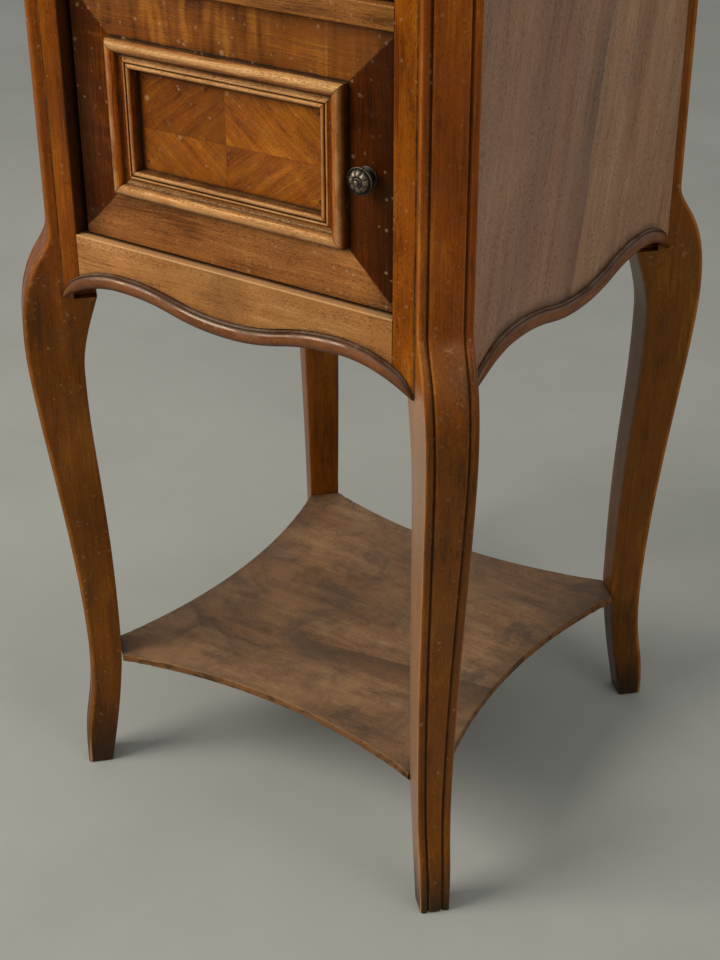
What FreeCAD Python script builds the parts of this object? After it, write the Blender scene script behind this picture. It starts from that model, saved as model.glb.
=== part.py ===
import FreeCAD, Part
import math
import os

# A walnut nightstand on four cabriole legs set on the diagonals, with a panelled door,
# a drawer above it, a low shelf between the feet and a stone top.
# Millimetres. The origin is on the floor under the plan centre, the front faces -Y, +Z is up.

# Heights, from the floor up
opening_base = 510.5
door_opening_height = 193.5
divider_height = 16.0
drawer_opening_height = 94.0
top_rail_height = 16.0
door_opening_top = opening_base + door_opening_height
drawer_opening_base = door_opening_top + divider_height
drawer_opening_top = drawer_opening_base + drawer_opening_height
case_top = drawer_opening_top + top_rail_height

# Case, from the plan centre to the outer faces
front_reach = 186.0
side_reach = 186.0
back_reach = 186.0
opening_half_width = 140.0
front_thickness = 24.0
side_thickness = 14.0
back_thickness = 10.0
back_panel_base = 484.0
floor_thickness = 12.0
dust_board_thickness = 10.0
edge_round = 1.2

# Fits
glue_gap = 0.1
running_gap = 0.05
bore_gap = 0.15
slide_gap = 0.4
stop_gap = 0.3
overrun = 25.0

# Legs: a reach is measured from the plan centre along the diagonal
post_corner_inset = 11.5
post_half_width = 19.5
post_core_half_width = 11.0
post_lip_depth = 15.5
post_core_depth = 18.0
knee_swell = 25.5
knee_depth = 44.7
ankle_inset = 2.0
ankle_depth = 27.5
toe_kick = 9.5
foot_depth = 21.0
foot_half_width = 12.0
knee_top_height = 508.0
knee_height = 418.0
ankle_height = 108.0
shoulder_height = 453.0
inner_knee_height = 390.0
inner_ankle_height = 135.0
leg_bead_width = 5.6
leg_groove_width = 2.4
leg_groove_depth = 2.6
leg_bead_round = 2.2
swell_handle_shares = (0.22, 0.75)
shin_handle_shares = (0.19, 0.38)
toe_handle_shares = (0.5, 0.5)
inner_swell_handle_shares = (0.33, 0.35)
inner_shin_handle_shares = (0.34, 0.53)
heel_handle_shares = (0.33, 0.33)
taper_handle_shares = (0.15, 0.33)
upright_lean_shares = (0.0, 0.0)
inner_swell_lean_shares = (0.47, 0.0)
heel_lean_shares = (0.0, 0.52)
taper_lean_shares = (0.0, 0.33)

# Serpentine bead under the apron and the side panels
dip_height = 462.0
crest_place = 98.0
crest_rise = 12.7
bead_height = 12.0
bead_proud = 5.5
bead_nose = 4.5
bead_depth = 8.0
bead_tip_base = 455.0
bead_tip_height = 1.6
bead_tip_proud = 2.0
bead_fit = 0.2
bead_dip_shares = (0.5, 1)
bead_crest_shares = (0.33, 0.67, 1)
bead_fall_shares = (0.12, 0.25, 0.4, 0.55, 0.7, 0.85, 1)

# Rail tenons
tenon_length = 12.0
tenon_thickness = 8.0
tenon_shoulder = 3.0

# Low shelf
shelf_top = 115.0
shelf_thickness = 7.0
shelf_waist = 145.0
shelf_corner_half_width = 15.5
shelf_leg_gap = 0.3
shelf_edge_round = 1.6
shelf_dowel_radius = 2.0
shelf_dowel_depth = 11.0

# Stone top
marble_thickness = 20.0
marble_overhang = 18.0
marble_corner_overhang = 11.0
marble_top_round = 8.0
marble_bottom_round = 2.0

# Door
door_gap = 1.5
door_recess = 8.0
door_thickness = 18.0
door_border = 52.0
panel_setback = 4.0
panel_rebate = 8.0
panel_fit = 0.4
panel_core_thickness = 8.0
veneer_thickness = 1.0

# Door moulding: widths run inwards from its outer edge, heights from the door face
moulding_overlap = 13.5
moulding_width = 19.5
roll_width = 9.0
roll_foot_height = 3.0
roll_height = 9.0
roll_inner_height = 4.6
cove_width = 5.0
cove_depth = 1.3
fillet_width = 1.0
fillet_height = 4.2
quirk_width = 0.8
quirk_height = 1.4
inner_bead_foot = 2.8
roll_top_share = 0.45

# Pivot hinges
pivot_inset = 9.0
pivot_pin_radius = 2.5
pivot_pin_depth = 5.0
pivot_plate_length = 38.0
pivot_plate_width = 12.0
pivot_plate_thickness = 2.0
pivot_plate_margin = 1.2
pivot_corner_ease = 0.5
pivot_washer_radius = 5.0
pivot_washer_thickness = 1.2
screw_head_radius = 2.6
screw_shank_radius = 1.4
screw_length = 12.0
screw_place_shares = (0.5, 0.84)

# Ball catch in the top edge of the door
catch_place = 112.0
catch_barrel_radius = 3.5
catch_barrel_depth = 16.0
catch_ball_radius = 2.5
catch_ball_proud = 1.0
catch_floor = 1.5
catch_wire_radius = 0.25
catch_coil_radius = 1.9
catch_coil_count = 6
strike_length = 26.0
strike_width = 10.0
strike_thickness = 1.0
strike_hole_radius = 1.9
strike_screw_place_share = 0.34

# Knobs
knob_edge_inset = 23.0
knob_drop = 3.7
knob_base_radius = 8.0
knob_base_height = 1.5
knob_neck_radius = 4.2
knob_neck_height = 4.6
knob_head_radius = 10.0
knob_head_height = 9.8
knob_height = 15.0
knob_bore_depth = 9.0
knob_screw_radius = 2.0
knob_screw_head_radius = 4.0
knob_screw_head_height = 2.2
knob_cup_share = 0.25

# Drawer
drawer_gap = 1.5
drawer_front_thickness = 17.0
drawer_band_width = 26.0
drawer_side_thickness = 10.0
drawer_side_height = 80.0
drawer_depth = 314.0
drawer_bottom_thickness = 5.0
drawer_bottom_rise = 8.0
drawer_groove_depth = 4.0
drawer_back_thickness = 9.0
drawer_back_setback = 4.0
drawer_back_housing = 3.0
drawer_back_drop = 5.0
dovetail_length = 13.0
dovetail_width = 17.0
dovetail_flare = 2.6
dovetail_place_shares = (0.17, 0.5, 0.83)

# Loose strips and blocks inside the case
guide_height = 15.0
guide_gap = 0.8
kicker_width = 42.0
kicker_height = 12.0
stop_width = 26.0
stop_depth = 14.0
drawer_stop_height = 4.0
drawer_stop_place = 70.0
door_stop_height = 14.0
door_stop_place = 75.0
glue_block_size = 15.0
glue_block_half_length = 30.0
glue_block_place = 70.0

# Values worked out from the sizes above
diagonal_share = math.sqrt(0.5)
corner_angles = {"front_right": -45, "back_right": 45, "back_left": 135, "front_left": -135}
post_reach = (front_reach + side_reach) * diagonal_share - post_corner_inset
post_lip_reach = post_reach - post_lip_depth
post_inner_reach = post_lip_reach - post_core_depth
knee_reach = post_reach + knee_swell
inner_knee_reach = knee_reach - knee_depth
ankle_reach = post_reach - ankle_inset
inner_ankle_reach = ankle_reach - ankle_depth
toe_reach = ankle_reach + toe_kick
heel_reach = toe_reach - foot_depth
front_inner = front_reach - front_thickness
side_inner = side_reach - side_thickness
back_inner = back_reach - back_thickness
board_corner = (post_inner_reach - glue_gap) / diagonal_share
strip_half_length = board_corner - side_inner
door_face = front_reach - door_recess
door_back = door_face - door_thickness
door_half_width = opening_half_width - door_gap
door_base = opening_base + door_gap
door_top = door_opening_top - door_gap
door_centre = (door_base + door_top) / 2
door_half_height = (door_top - door_base) / 2
sight_half_width = door_half_width - door_border
sight_half_height = door_half_height - door_border
moulding_half_width = sight_half_width + moulding_overlap
moulding_half_height = sight_half_height + moulding_overlap
panel_face = door_face - panel_setback
core_face = panel_face - veneer_thickness
core_back = core_face - panel_core_thickness
pivot_x = pivot_inset - door_half_width
pivot_y = -(door_face + door_back) / 2
knob_x = door_half_width - knob_edge_inset
knob_z = door_centre - knob_drop
drawer_face = front_reach - door_recess
drawer_core_face = drawer_face - veneer_thickness
drawer_joint = drawer_core_face - drawer_front_thickness
drawer_half_width = opening_half_width - drawer_gap
drawer_inner_half = drawer_half_width - drawer_side_thickness
drawer_front_base = drawer_opening_base + drawer_gap
drawer_front_top = drawer_opening_top - drawer_gap
drawer_centre = (drawer_front_base + drawer_front_top) / 2
drawer_side_base = drawer_opening_base + slide_gap
drawer_side_top = drawer_side_base + drawer_side_height
drawer_bottom_base = drawer_side_base + drawer_bottom_rise
drawer_bottom_top = drawer_bottom_base + drawer_bottom_thickness
drawer_tail = drawer_depth - drawer_joint
dust_board_base = drawer_opening_base - dust_board_thickness


def point(x, y, z):
    return FreeCAD.Vector(x, y, z)


origin = point(0, 0, 0)
upright = point(0, 0, 1)
across = point(1, 0, 0)
outward = point(0, 1, 0)


def box(x_range, y_range, z_range):
    size = [high - low for low, high in (x_range, y_range, z_range)]
    return Part.makeBox(*size, point(x_range[0], y_range[0], z_range[0]))


def span(half):
    return (-half, half)


def prism(corners, travel):
    """A polygon of 3-D corners carried along a straight travel."""
    return Part.Face(Part.makePolygon(corners + corners[:1])).extrude(travel)


def plan_prism(outline, base, top):
    return prism([point(x, y, base) for x, y in outline], point(0, 0, top - base))


def front_prism(outline, face, back):
    """A front-view outline (x, z) carried from one reach back to another."""
    return prism([point(x, -face, z) for x, z in outline], point(0, face - back, 0))


def rod(radius, start, end):
    return Part.makeCylinder(radius, (end - start).Length, start, end - start)


def tube(radius, bore, start, end):
    return rod(radius, start, end).cut(rod(bore, start, end))


def mirror_x(shape):
    return shape.mirror(origin, across)


def mirror_y(shape):
    return shape.mirror(origin, outward)


def turned(shape, angle):
    return shape.rotated(origin, upright, angle)


def group(shapes):
    return Part.makeCompound(shapes)


def rounded(shape, radius, picks):
    """Round the edges whose middle point is picked."""
    edges = []
    for edge in shape.Edges:
        middle = edge.valueAt((edge.FirstParameter + edge.LastParameter) / 2)
        if picks(middle, edge):
            edges.append(edge)
    return shape.makeFillet(radius, edges)


def near(first, second):
    return abs(first - second) < glue_gap / 2


def leg_stretch(start, end, handle_shares, lean_shares):
    """One curve of the leg's outline, with handles at shares of its drop and sideways move."""
    side = end[0] - start[0]
    drop = end[1] - start[1]
    first = (start[0] + lean_shares[0] * side, start[1] + handle_shares[0] * drop)
    second = (end[0] - lean_shares[1] * side, end[1] - handle_shares[1] * drop)
    return (start, first, second, end)


def curve_edge(poles, place):
    curve = Part.BezierCurve()
    curve.setPoles([place(*pole) for pole in poles])
    return curve.toShape()


def line_edge(start, end, place):
    return Part.makeLine(place(*start), place(*end))


def outer_leg_stretches():
    brow = (post_reach, knee_top_height)
    knee = (knee_reach, knee_height)
    ankle = (ankle_reach, ankle_height)
    toe = (toe_reach, 0)
    return [
        leg_stretch(brow, knee, swell_handle_shares, upright_lean_shares),
        leg_stretch(knee, ankle, shin_handle_shares, upright_lean_shares),
        leg_stretch(ankle, toe, toe_handle_shares, upright_lean_shares),
    ]


def inner_leg_stretches():
    shoulder = (post_inner_reach, shoulder_height)
    knee = (inner_knee_reach, inner_knee_height)
    ankle = (inner_ankle_reach, inner_ankle_height)
    heel = (heel_reach, 0)
    return [
        leg_stretch(shoulder, knee, inner_swell_handle_shares, inner_swell_lean_shares),
        leg_stretch(knee, ankle, inner_shin_handle_shares, upright_lean_shares),
        leg_stretch(ankle, heel, heel_handle_shares, heel_lean_shares),
    ]


def taper_stretch(inset):
    """Half the leg's width from the brow of the knee to the foot, less an inset."""
    brow = (post_half_width - inset, knee_top_height)
    foot = (foot_half_width - inset, 0)
    return leg_stretch(brow, foot, taper_handle_shares, taper_lean_shares)


def leg_side_solid(inset, far_reach, low_inset):
    """The side view between the outer curve, drawn in by an inset, and a back line."""
    def place(reach, height):
        return point(reach, -post_half_width - low_inset, height)
    stretches = [[(reach - inset, height) for reach, height in poles] for poles in outer_leg_stretches()]
    edges = [line_edge((post_reach - inset, case_top), stretches[0][0], place)]
    edges += [curve_edge(poles, place) for poles in stretches]
    toe = stretches[-1][-1]
    if far_reach is None:
        inner = inner_leg_stretches()
        edges.append(line_edge(toe, inner[-1][-1], place))
        edges += [curve_edge(poles, place) for poles in reversed(inner)]
        edges.append(line_edge(inner[0][0], (post_inner_reach, case_top), place))
        edges.append(line_edge((post_inner_reach, case_top), (post_reach, case_top), place))
    else:
        edges.append(line_edge(toe, (far_reach, 0), place))
        edges.append(line_edge((far_reach, 0), (far_reach, case_top), place))
        edges.append(line_edge((far_reach, case_top), (post_reach - inset, case_top), place))
    return Part.Face(Part.Wire(edges)).extrude(point(0, 2 * (post_half_width + low_inset), 0))


def leg_front_band(outer_inset, inner_inset):
    """The front view of a band that follows the leg's taper between two insets, or the whole width."""
    def place(half, height):
        return point(0, half, height)
    outer = taper_stretch(outer_inset)
    if inner_inset is None:
        inner = [(-half, height) for half, height in outer]
    else:
        inner = taper_stretch(inner_inset)
    outer_top = (outer[0][0], case_top)
    inner_top = (inner[0][0], case_top)
    edges = [
        line_edge(outer_top, outer[0], place),
        curve_edge(outer, place),
        line_edge(outer[-1], inner[-1], place),
        curve_edge(inner, place),
        line_edge(inner[0], inner_top, place),
        line_edge(inner_top, outer_top, place),
    ]
    return Part.Face(Part.Wire(edges)).extrude(point(knee_reach + overrun, 0, 0))


def leg_grooves():
    skin = leg_side_solid(leg_groove_depth, knee_reach + overrun, overrun)
    band = leg_front_band(leg_bead_width, leg_bead_width + leg_groove_width)
    groove = skin.common(band)
    return [groove, mirror_y(groove)]


def is_leg_corner(middle, edge):
    rim = (inner_knee_reach + ankle_reach) / 2
    return middle.x > rim and edge.BoundBox.ZLength > post_half_width


def shelf_dowel(radius, extra):
    height = shelf_top - shelf_thickness / 2
    start = point(inner_ankle_reach - shelf_leg_gap - shelf_dowel_depth - extra, 0, height)
    end = point(inner_ankle_reach + shelf_dowel_depth + extra, 0, height)
    return rod(radius, start, end)


def leg_on_x():
    blank = leg_side_solid(0, None, 0).common(leg_front_band(0, None))
    blank = rounded(blank, leg_bead_round, is_leg_corner)
    rebate_reach = (post_inner_reach - overrun, post_lip_reach)
    rebate_height = (shoulder_height, case_top + overrun)
    rebate = box(rebate_reach, (post_core_half_width, post_half_width + overrun), rebate_height)
    cuts = leg_grooves()
    cuts += [rebate, mirror_y(rebate)]
    cuts.append(shelf_dowel(shelf_dowel_radius + running_gap, running_gap))
    return blank.cut(cuts)


def post_room():
    """The room that a corner post takes at the right end of a board that faces +Y."""
    far = knee_reach + overrun
    lip = box((post_lip_reach - glue_gap, far), span(post_half_width + glue_gap), (0, case_top + overrun))
    core = box((post_inner_reach - glue_gap, far), span(post_core_half_width + glue_gap), (0, case_top + overrun))
    return turned(lip.fuse(core), 45)


def keyed_board(reach, thickness, base, top):
    """A board that faces +Y, cut to the diagonals and keyed into the posts at both ends."""
    inner = reach - thickness
    room = post_room()
    board = plan_prism([(inner, inner), (reach, reach), (-reach, reach), (-inner, inner)], base, top)
    return board.cut([room, mirror_x(room)])


def bead_end(reach):
    """How far across the bead runs on a board of this reach: to where the board meets its post."""
    return reach - (post_half_width + glue_gap) / diagonal_share


def serpentine_radius():
    """The dip's and the crests' inner radius, which are alike and tangent."""
    return (crest_place**2 + crest_rise**2) / (4 * crest_rise)


def serpentine_join(offset):
    """The place where the dip arc, raised by an offset, meets the crest arc."""
    radius = serpentine_radius()
    return crest_place * (radius - offset) / (2 * radius)


def serpentine_height(place, offset, end_place, tip):
    """The height of the curve raised by an offset, whose ends drop in arcs to a tip height."""
    radius = serpentine_radius()
    away = abs(place)
    crest = dip_height + crest_rise
    if away <= serpentine_join(offset):
        return dip_height + radius - math.sqrt((radius - offset)**2 - away**2)
    if away <= crest_place:
        return crest - radius + math.sqrt((radius + offset)**2 - (crest_place - away)**2)
    run = end_place - crest_place
    drop = crest + offset - tip
    end_radius = (run**2 + drop**2) / (2 * drop)
    return crest + offset - end_radius + math.sqrt(end_radius**2 - (away - crest_place)**2)


def lower_height(place, end_place):
    return serpentine_height(place, 0, end_place, bead_tip_base)


def upper_height(place, end_place):
    return serpentine_height(place, bead_height, end_place, bead_tip_base + bead_tip_height)


def below_curve(height_at, join, end_place, lift):
    """Everything under a serpentine, lifted a little, as a block that reaches out along +Y."""
    breaks = [-end_place, -crest_place, -join, join, crest_place, end_place]

    def on_curve(place):
        return point(place, 0, height_at(place, end_place) + lift)
    edges = []
    for start, end in zip(breaks, breaks[1:]):
        edges.append(Part.Arc(on_curve(start), on_curve((start + end) / 2), on_curve(end)).toShape())
    tip = on_curve(end_place)
    corners = [tip, point(front_reach, 0, tip.z), point(front_reach, 0, 0)]
    corners += [point(-front_reach, 0, 0), point(-front_reach, 0, tip.z), on_curve(-end_place)]
    edges += [Part.makeLine(start, end) for start, end in zip(corners, corners[1:])]
    return Part.Face(Part.Wire(edges)).extrude(point(0, front_reach + overrun, 0))


def bead_rebate(reach):
    """The room for the bead along the front of a board that faces +Y."""
    below = below_curve(upper_height, serpentine_join(bead_height), bead_end(reach), bead_fit)
    depth = (reach - bead_depth - bead_fit, reach + overrun)
    return below.common(box(span(front_reach), depth, (0, case_top)))


def arch_cut(reach):
    """The arch under a board that faces +Y, between the feet that stand on the legs."""
    below = below_curve(lower_height, serpentine_join(0), bead_end(reach), 0)
    return below.common(box(span(opening_half_width), (0, reach + overrun), (0, case_top)))


def bead_section(place, reach):
    """The bead's section at one place: flat on three sides with a round nose."""
    low = lower_height(place, bead_end(reach))
    high = upper_height(place, bead_end(reach))
    fullness_share = (high - low - bead_tip_height) / (bead_height - bead_tip_height)
    proud = bead_tip_proud + (bead_proud - bead_tip_proud) * fullness_share
    nose = reach + proud
    shoulder = nose - bead_nose * (high - low) / bead_height
    back = reach - bead_depth
    corners = [point(place, out, z) for out, z in ((shoulder, low), (back, low), (back, high), (shoulder, high))]
    edges = [Part.makeLine(start, end) for start, end in zip(corners, corners[1:])]
    edges.append(Part.Arc(corners[-1], point(place, nose, (low + high) / 2), corners[0]).toShape())
    return Part.Wire(edges)


def bead_places(reach):
    """Where the bead's sections stand, from beside the middle of the dip to the right tip."""
    join = serpentine_join(bead_height / 2)
    rest = bead_end(reach) - crest_place
    places = [join * share for share in bead_dip_shares]
    places += [join + (crest_place - join) * share for share in bead_crest_shares]
    return places + [crest_place + rest * share for share in bead_fall_shares]


def bead_strip(reach):
    """The serpentine bead along the foot of a board that faces +Y, thinning to its tips."""
    right = bead_places(reach)
    places = [-place for place in reversed(right)] + [0] + right
    strip = Part.makeLoft([bead_section(place, reach) for place in places], True)
    room = post_room()
    return strip.cut([room, mirror_x(room)])


def front_stile_right():
    """A front stile keyed into its post, standing on the leg's shoulder behind the bead."""
    outline = [(opening_half_width, front_inner), (opening_half_width, front_reach)]
    outline += [(front_reach, front_reach), (front_inner, front_inner)]
    stile = plan_prism(outline, shoulder_height + glue_gap, case_top).cut(post_room())
    stile = rounded(mirror_y(stile), edge_round, is_inner_front_corner)
    stile = stile.cut(turned(bead_rebate(front_reach), 180))
    return stile.cut([mortise(apron_tenon_range()), mortise(divider_tenon_range()), mortise(top_tenon_range())])


def is_inner_front_corner(middle, edge):
    return near(middle.x, opening_half_width) and near(middle.y, -front_reach)


def apron_tenon_range():
    return (dip_height + bead_height + crest_rise + tenon_shoulder, opening_base - tenon_shoulder)


def divider_tenon_range():
    return (door_opening_top + tenon_shoulder, drawer_opening_base - tenon_shoulder)


def top_tenon_range():
    return (drawer_opening_top + tenon_shoulder, case_top - tenon_shoulder)


def tenon_y_range(clearance):
    middle = -(front_reach + front_inner) / 2
    half = tenon_thickness / 2 + clearance
    return (middle - half, middle + half)


def mortise(z_range):
    """The slot in the right stile for a rail's tenon."""
    depth = (opening_half_width - glue_gap, opening_half_width + tenon_length + glue_gap)
    return box(depth, tenon_y_range(glue_gap), (z_range[0] - glue_gap, z_range[1] + glue_gap))


def rail_with_tenons(z_range, tenon_range, rounds):
    """A front rail between the stiles with a tenon at each end and rounded front edges."""
    rail = box(span(opening_half_width), (-front_reach, -front_inner), z_range)

    def front_edge(middle, edge):
        on_level = any(near(middle.z, level) for level in rounds)
        return near(middle.y, -front_reach) and on_level
    rail = rounded(rail, edge_round, front_edge)
    tenon = box(span(opening_half_width + tenon_length), tenon_y_range(0), tenon_range)
    return rail.fuse(tenon).removeSplitter()


def pivot_seats(level, direction):
    """Room for a frame pivot plate, its pin and its screws, cut from a face at this level."""
    cuts = [pivot_plate_block(level, direction, glue_gap)]
    start = point(pivot_x, pivot_y, level)
    end = point(pivot_x, pivot_y, level + direction * (pivot_pin_depth + stop_gap))
    cuts.append(rod(pivot_pin_radius + bore_gap, start, end))
    cuts += [screw_seat(place, point(0, 0, direction)) for place in pivot_screw_places(level)]
    return cuts


def pivot_plate_block(level, direction, clearance):
    """A pivot plate let into a face at this level, going up or down from it."""
    x_start = -door_half_width + pivot_plate_margin
    z_ends = sorted((level, level + direction * (pivot_plate_thickness + clearance)))
    x_range = (x_start - clearance, x_start + pivot_plate_length + clearance)
    half = pivot_plate_width / 2 + clearance
    return box(x_range, (pivot_y - half, pivot_y + half), z_ends)


def pivot_screw_places(level):
    start = -door_half_width + pivot_plate_margin
    return [point(start + pivot_plate_length * share, pivot_y, level) for share in screw_place_shares]


def screw(place, direction):
    """A countersunk screw whose flat head lies at a place."""
    cone = Part.makeCone(screw_head_radius, screw_shank_radius, pivot_plate_thickness, place, direction)
    return cone.fuse(rod(screw_shank_radius, place, place + direction * screw_length)).removeSplitter()


def screw_seat(place, direction):
    head = screw_head_radius + running_gap
    shank = screw_shank_radius + running_gap
    cone = Part.makeCone(head, shank, pivot_plate_thickness, place, direction)
    return cone.fuse(rod(shank, place, place + direction * (screw_length + stop_gap)))


def front_apron():
    z_range = (dip_height, opening_base)
    apron = rail_with_tenons(z_range, apron_tenon_range(), [opening_base])
    apron = apron.cut([turned(cut, 180) for cut in (bead_rebate(front_reach), arch_cut(front_reach))])
    return apron.cut(pivot_seats(opening_base, -1))


def divider_rail():
    levels = (door_opening_top, drawer_opening_base)
    rail = rail_with_tenons(levels, divider_tenon_range(), levels)
    cuts = pivot_seats(door_opening_top, 1)
    cuts.append(strike_block(glue_gap))
    ball_room = point(catch_place, pivot_y, door_opening_top)
    cuts.append(rod(strike_hole_radius, ball_room, ball_room + upright * catch_ball_radius))
    cuts += [screw_seat(place, upright) for place in strike_screw_places()]
    return rail.cut(cuts)


def top_rail():
    levels = (drawer_opening_top, case_top)
    return rail_with_tenons(levels, top_tenon_range(), [drawer_opening_top])


def back_top_rail():
    half = board_corner - back_inner
    return box(span(half), (back_inner - front_thickness, back_inner - glue_gap), (drawer_opening_top, case_top))


def side_panel_right():
    panel = keyed_board(side_reach, side_thickness, shoulder_height + glue_gap, case_top)
    panel = panel.cut([bead_rebate(side_reach), arch_cut(side_reach)])
    return turned(panel, -90)


def board_outline():
    """The plan of a board that fills the case between the front, the panels and the posts."""
    side = side_inner - glue_gap
    front = front_inner - glue_gap
    back = back_inner - glue_gap
    right = [
        (board_corner - front, -front),
        (side, side - board_corner),
        (side, board_corner - side),
        (board_corner - back, back),
    ]
    return right + [(-x, y) for x, y in reversed(right)]


def strip_pair(x_range, z_range):
    right = box(x_range, span(strip_half_length), z_range)
    return group([right, mirror_x(right)])


def drawer_guides():
    x_range = (drawer_half_width + guide_gap, side_inner - glue_gap)
    return strip_pair(x_range, (drawer_opening_base, drawer_opening_base + guide_height))


def drawer_kickers():
    x_range = (side_inner - kicker_width, side_inner - glue_gap)
    return strip_pair(x_range, (drawer_opening_top - kicker_height, drawer_opening_top))


def stop_block(x_middle, back_reach_of_stop, z_range):
    half = stop_width / 2
    y_start = -back_reach_of_stop + stop_gap
    return box((x_middle - half, x_middle + half), (y_start, y_start + stop_depth), z_range)


def drawer_stops():
    z_range = (drawer_opening_base, drawer_opening_base + drawer_stop_height)
    right = stop_block(drawer_stop_place, drawer_joint, z_range)
    return group([right, mirror_x(right)])


def door_stop():
    return stop_block(door_stop_place, door_back, (dust_board_base - door_stop_height, dust_board_base))


def glue_blocks():
    """Square blocks under the cupboard floor, glued along the side panels."""
    floor_base = opening_base - floor_thickness
    blocks = []
    for place in (-glue_block_place, glue_block_place):
        ends = (place - glue_block_half_length, place + glue_block_half_length)
        right_x = (side_inner - glue_gap - glue_block_size, side_inner - glue_gap)
        right = box(right_x, ends, (floor_base - glue_block_size, floor_base))
        blocks += [right, mirror_x(right)]
    return group(blocks)


def marble_top():
    """A slab that hangs over the case on each side, with its corners cut off in front of the posts."""
    levels = (case_top, case_top + marble_thickness)
    y_range = (-front_reach - marble_overhang, back_reach + marble_overhang)
    slab = box(span(side_reach + marble_overhang), y_range, levels)
    corner_reach = span(post_reach + marble_corner_overhang)
    slab = slab.common(turned(box(corner_reach, corner_reach, levels), corner_angles["back_right"]))
    slab = rounded(slab, marble_top_round, lambda middle, edge: near(middle.z, case_top + marble_thickness))
    return rounded(slab, marble_bottom_round, lambda middle, edge: near(middle.z, case_top))


def shelf_outline():
    """A square with blunt corners at the legs and four hollow edges."""
    reach = inner_ankle_reach - shelf_leg_gap
    corner = ((reach - shelf_corner_half_width) * diagonal_share, (reach + shelf_corner_half_width) * diagonal_share)
    base = shelf_top - shelf_thickness
    edges = []
    for angle in (0, 90, 180, 270):
        start = turned(Part.Vertex(-corner[0], -corner[1], base), angle).Point
        waist = turned(Part.Vertex(0, -shelf_waist, base), angle).Point
        end = turned(Part.Vertex(corner[0], -corner[1], base), angle).Point
        blunt = turned(Part.Vertex(corner[1], -corner[0], base), angle).Point
        edges.append(Part.Arc(start, waist, end).toShape())
        edges.append(Part.makeLine(end, blunt))
    return Part.Wire(edges)


def lower_shelf():
    shelf = Part.Face(shelf_outline()).extrude(point(0, 0, shelf_thickness))
    base = shelf_top - shelf_thickness

    def on_hollow_rim(middle, edge):
        on_level = near(middle.z, base) or near(middle.z, shelf_top)
        return on_level and edge.Length > shelf_waist
    shelf = rounded(shelf, shelf_edge_round, on_hollow_rim)
    bore = shelf_dowel(shelf_dowel_radius + running_gap, running_gap)
    return shelf.cut([turned(bore, angle) for angle in corner_angles.values()])


def shelf_dowels():
    dowel = shelf_dowel(shelf_dowel_radius, 0)
    return group([turned(dowel, angle) for angle in corner_angles.values()])


def mitred_outlines(half_width, half_height, border, centre):
    """Front-view outlines (x, z) of a mitred frame's top, bottom, left and right lengths."""
    inner_x = half_width - border
    inner_z = half_height - border
    top = centre + half_height
    base = centre - half_height
    inner_top = centre + inner_z
    inner_base = centre - inner_z
    return {
        "top": [(-half_width, top), (half_width, top), (inner_x, inner_top), (-inner_x, inner_top)],
        "bottom": [(-half_width, base), (half_width, base), (inner_x, inner_base), (-inner_x, inner_base)],
        "left": [(-half_width, base), (-half_width, top), (-inner_x, inner_top), (-inner_x, inner_base)],
        "right": [(half_width, base), (half_width, top), (inner_x, inner_top), (inner_x, inner_base)],
    }


def panel_room():
    """The rebate for the panel behind the door frame's inner edge."""
    half_x = sight_half_width + panel_rebate
    half_z = sight_half_height + panel_rebate
    z_range = (door_centre - half_z, door_centre + half_z)
    return box(span(half_x), (-panel_face, overrun - door_back), z_range)


def hinge_side_round():
    """What is taken off the hinge edge's front corner so that it turns clear of the stile."""
    radius = pivot_inset + door_gap - pivot_corner_ease
    corner = box((-door_half_width, pivot_x), (-door_face, pivot_y), (door_base, door_top))
    keep = rod(radius, point(pivot_x, pivot_y, door_base), point(pivot_x, pivot_y, door_top))
    return corner.cut(keep)


def door_cuts():
    """Every cut that the four lengths of the door frame share."""
    cuts = [panel_room(), hinge_side_round()]
    for level, direction in ((door_base, 1), (door_top, -1)):
        cuts.append(pivot_plate_block(level, direction, glue_gap))
        cuts += [screw_seat(place, point(0, 0, direction)) for place in pivot_screw_places(level)]
    catch_top = point(catch_place, pivot_y, door_top)
    catch_end = catch_top - upright * (catch_barrel_depth + stop_gap)
    cuts.append(rod(catch_barrel_radius + running_gap, catch_end, catch_top))
    start = point(knob_x, -door_back, knob_z)
    cuts.append(rod(knob_screw_radius + bore_gap, start, point(knob_x, -door_face, knob_z)))
    return cuts


def door_frame():
    outlines = mitred_outlines(door_half_width, door_half_height, door_border, door_centre)
    cuts = door_cuts()
    return {side: front_prism(outline, door_face, door_back).cut(cuts) for side, outline in outlines.items()}


def door_panel_core():
    half_x = sight_half_width + panel_rebate - panel_fit
    half_z = sight_half_height + panel_rebate - panel_fit
    return box(span(half_x), (-core_face, -core_back), (door_centre - half_z, door_centre + half_z))


def door_veneer():
    """Four leaves that meet at the middle of the panel."""
    half_x = sight_half_width + panel_rebate - panel_fit
    half_z = sight_half_height + panel_rebate - panel_fit
    leaves = []
    for x_range in ((-half_x, 0), (0, half_x)):
        for z_range in ((door_centre - half_z, door_centre), (door_centre, door_centre + half_z)):
            leaves.append(box(x_range, (-panel_face, -core_face), z_range))
    return group(leaves)


def panel_slips():
    """Thin mitred slips behind the panel, in its rebate."""
    half_x = sight_half_width + panel_rebate - glue_gap
    half_z = sight_half_height + panel_rebate - glue_gap
    outlines = mitred_outlines(half_x, half_z, panel_rebate - glue_gap, door_centre)
    return group([front_prism(outline, core_back, door_back) for outline in outlines.values()])


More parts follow.
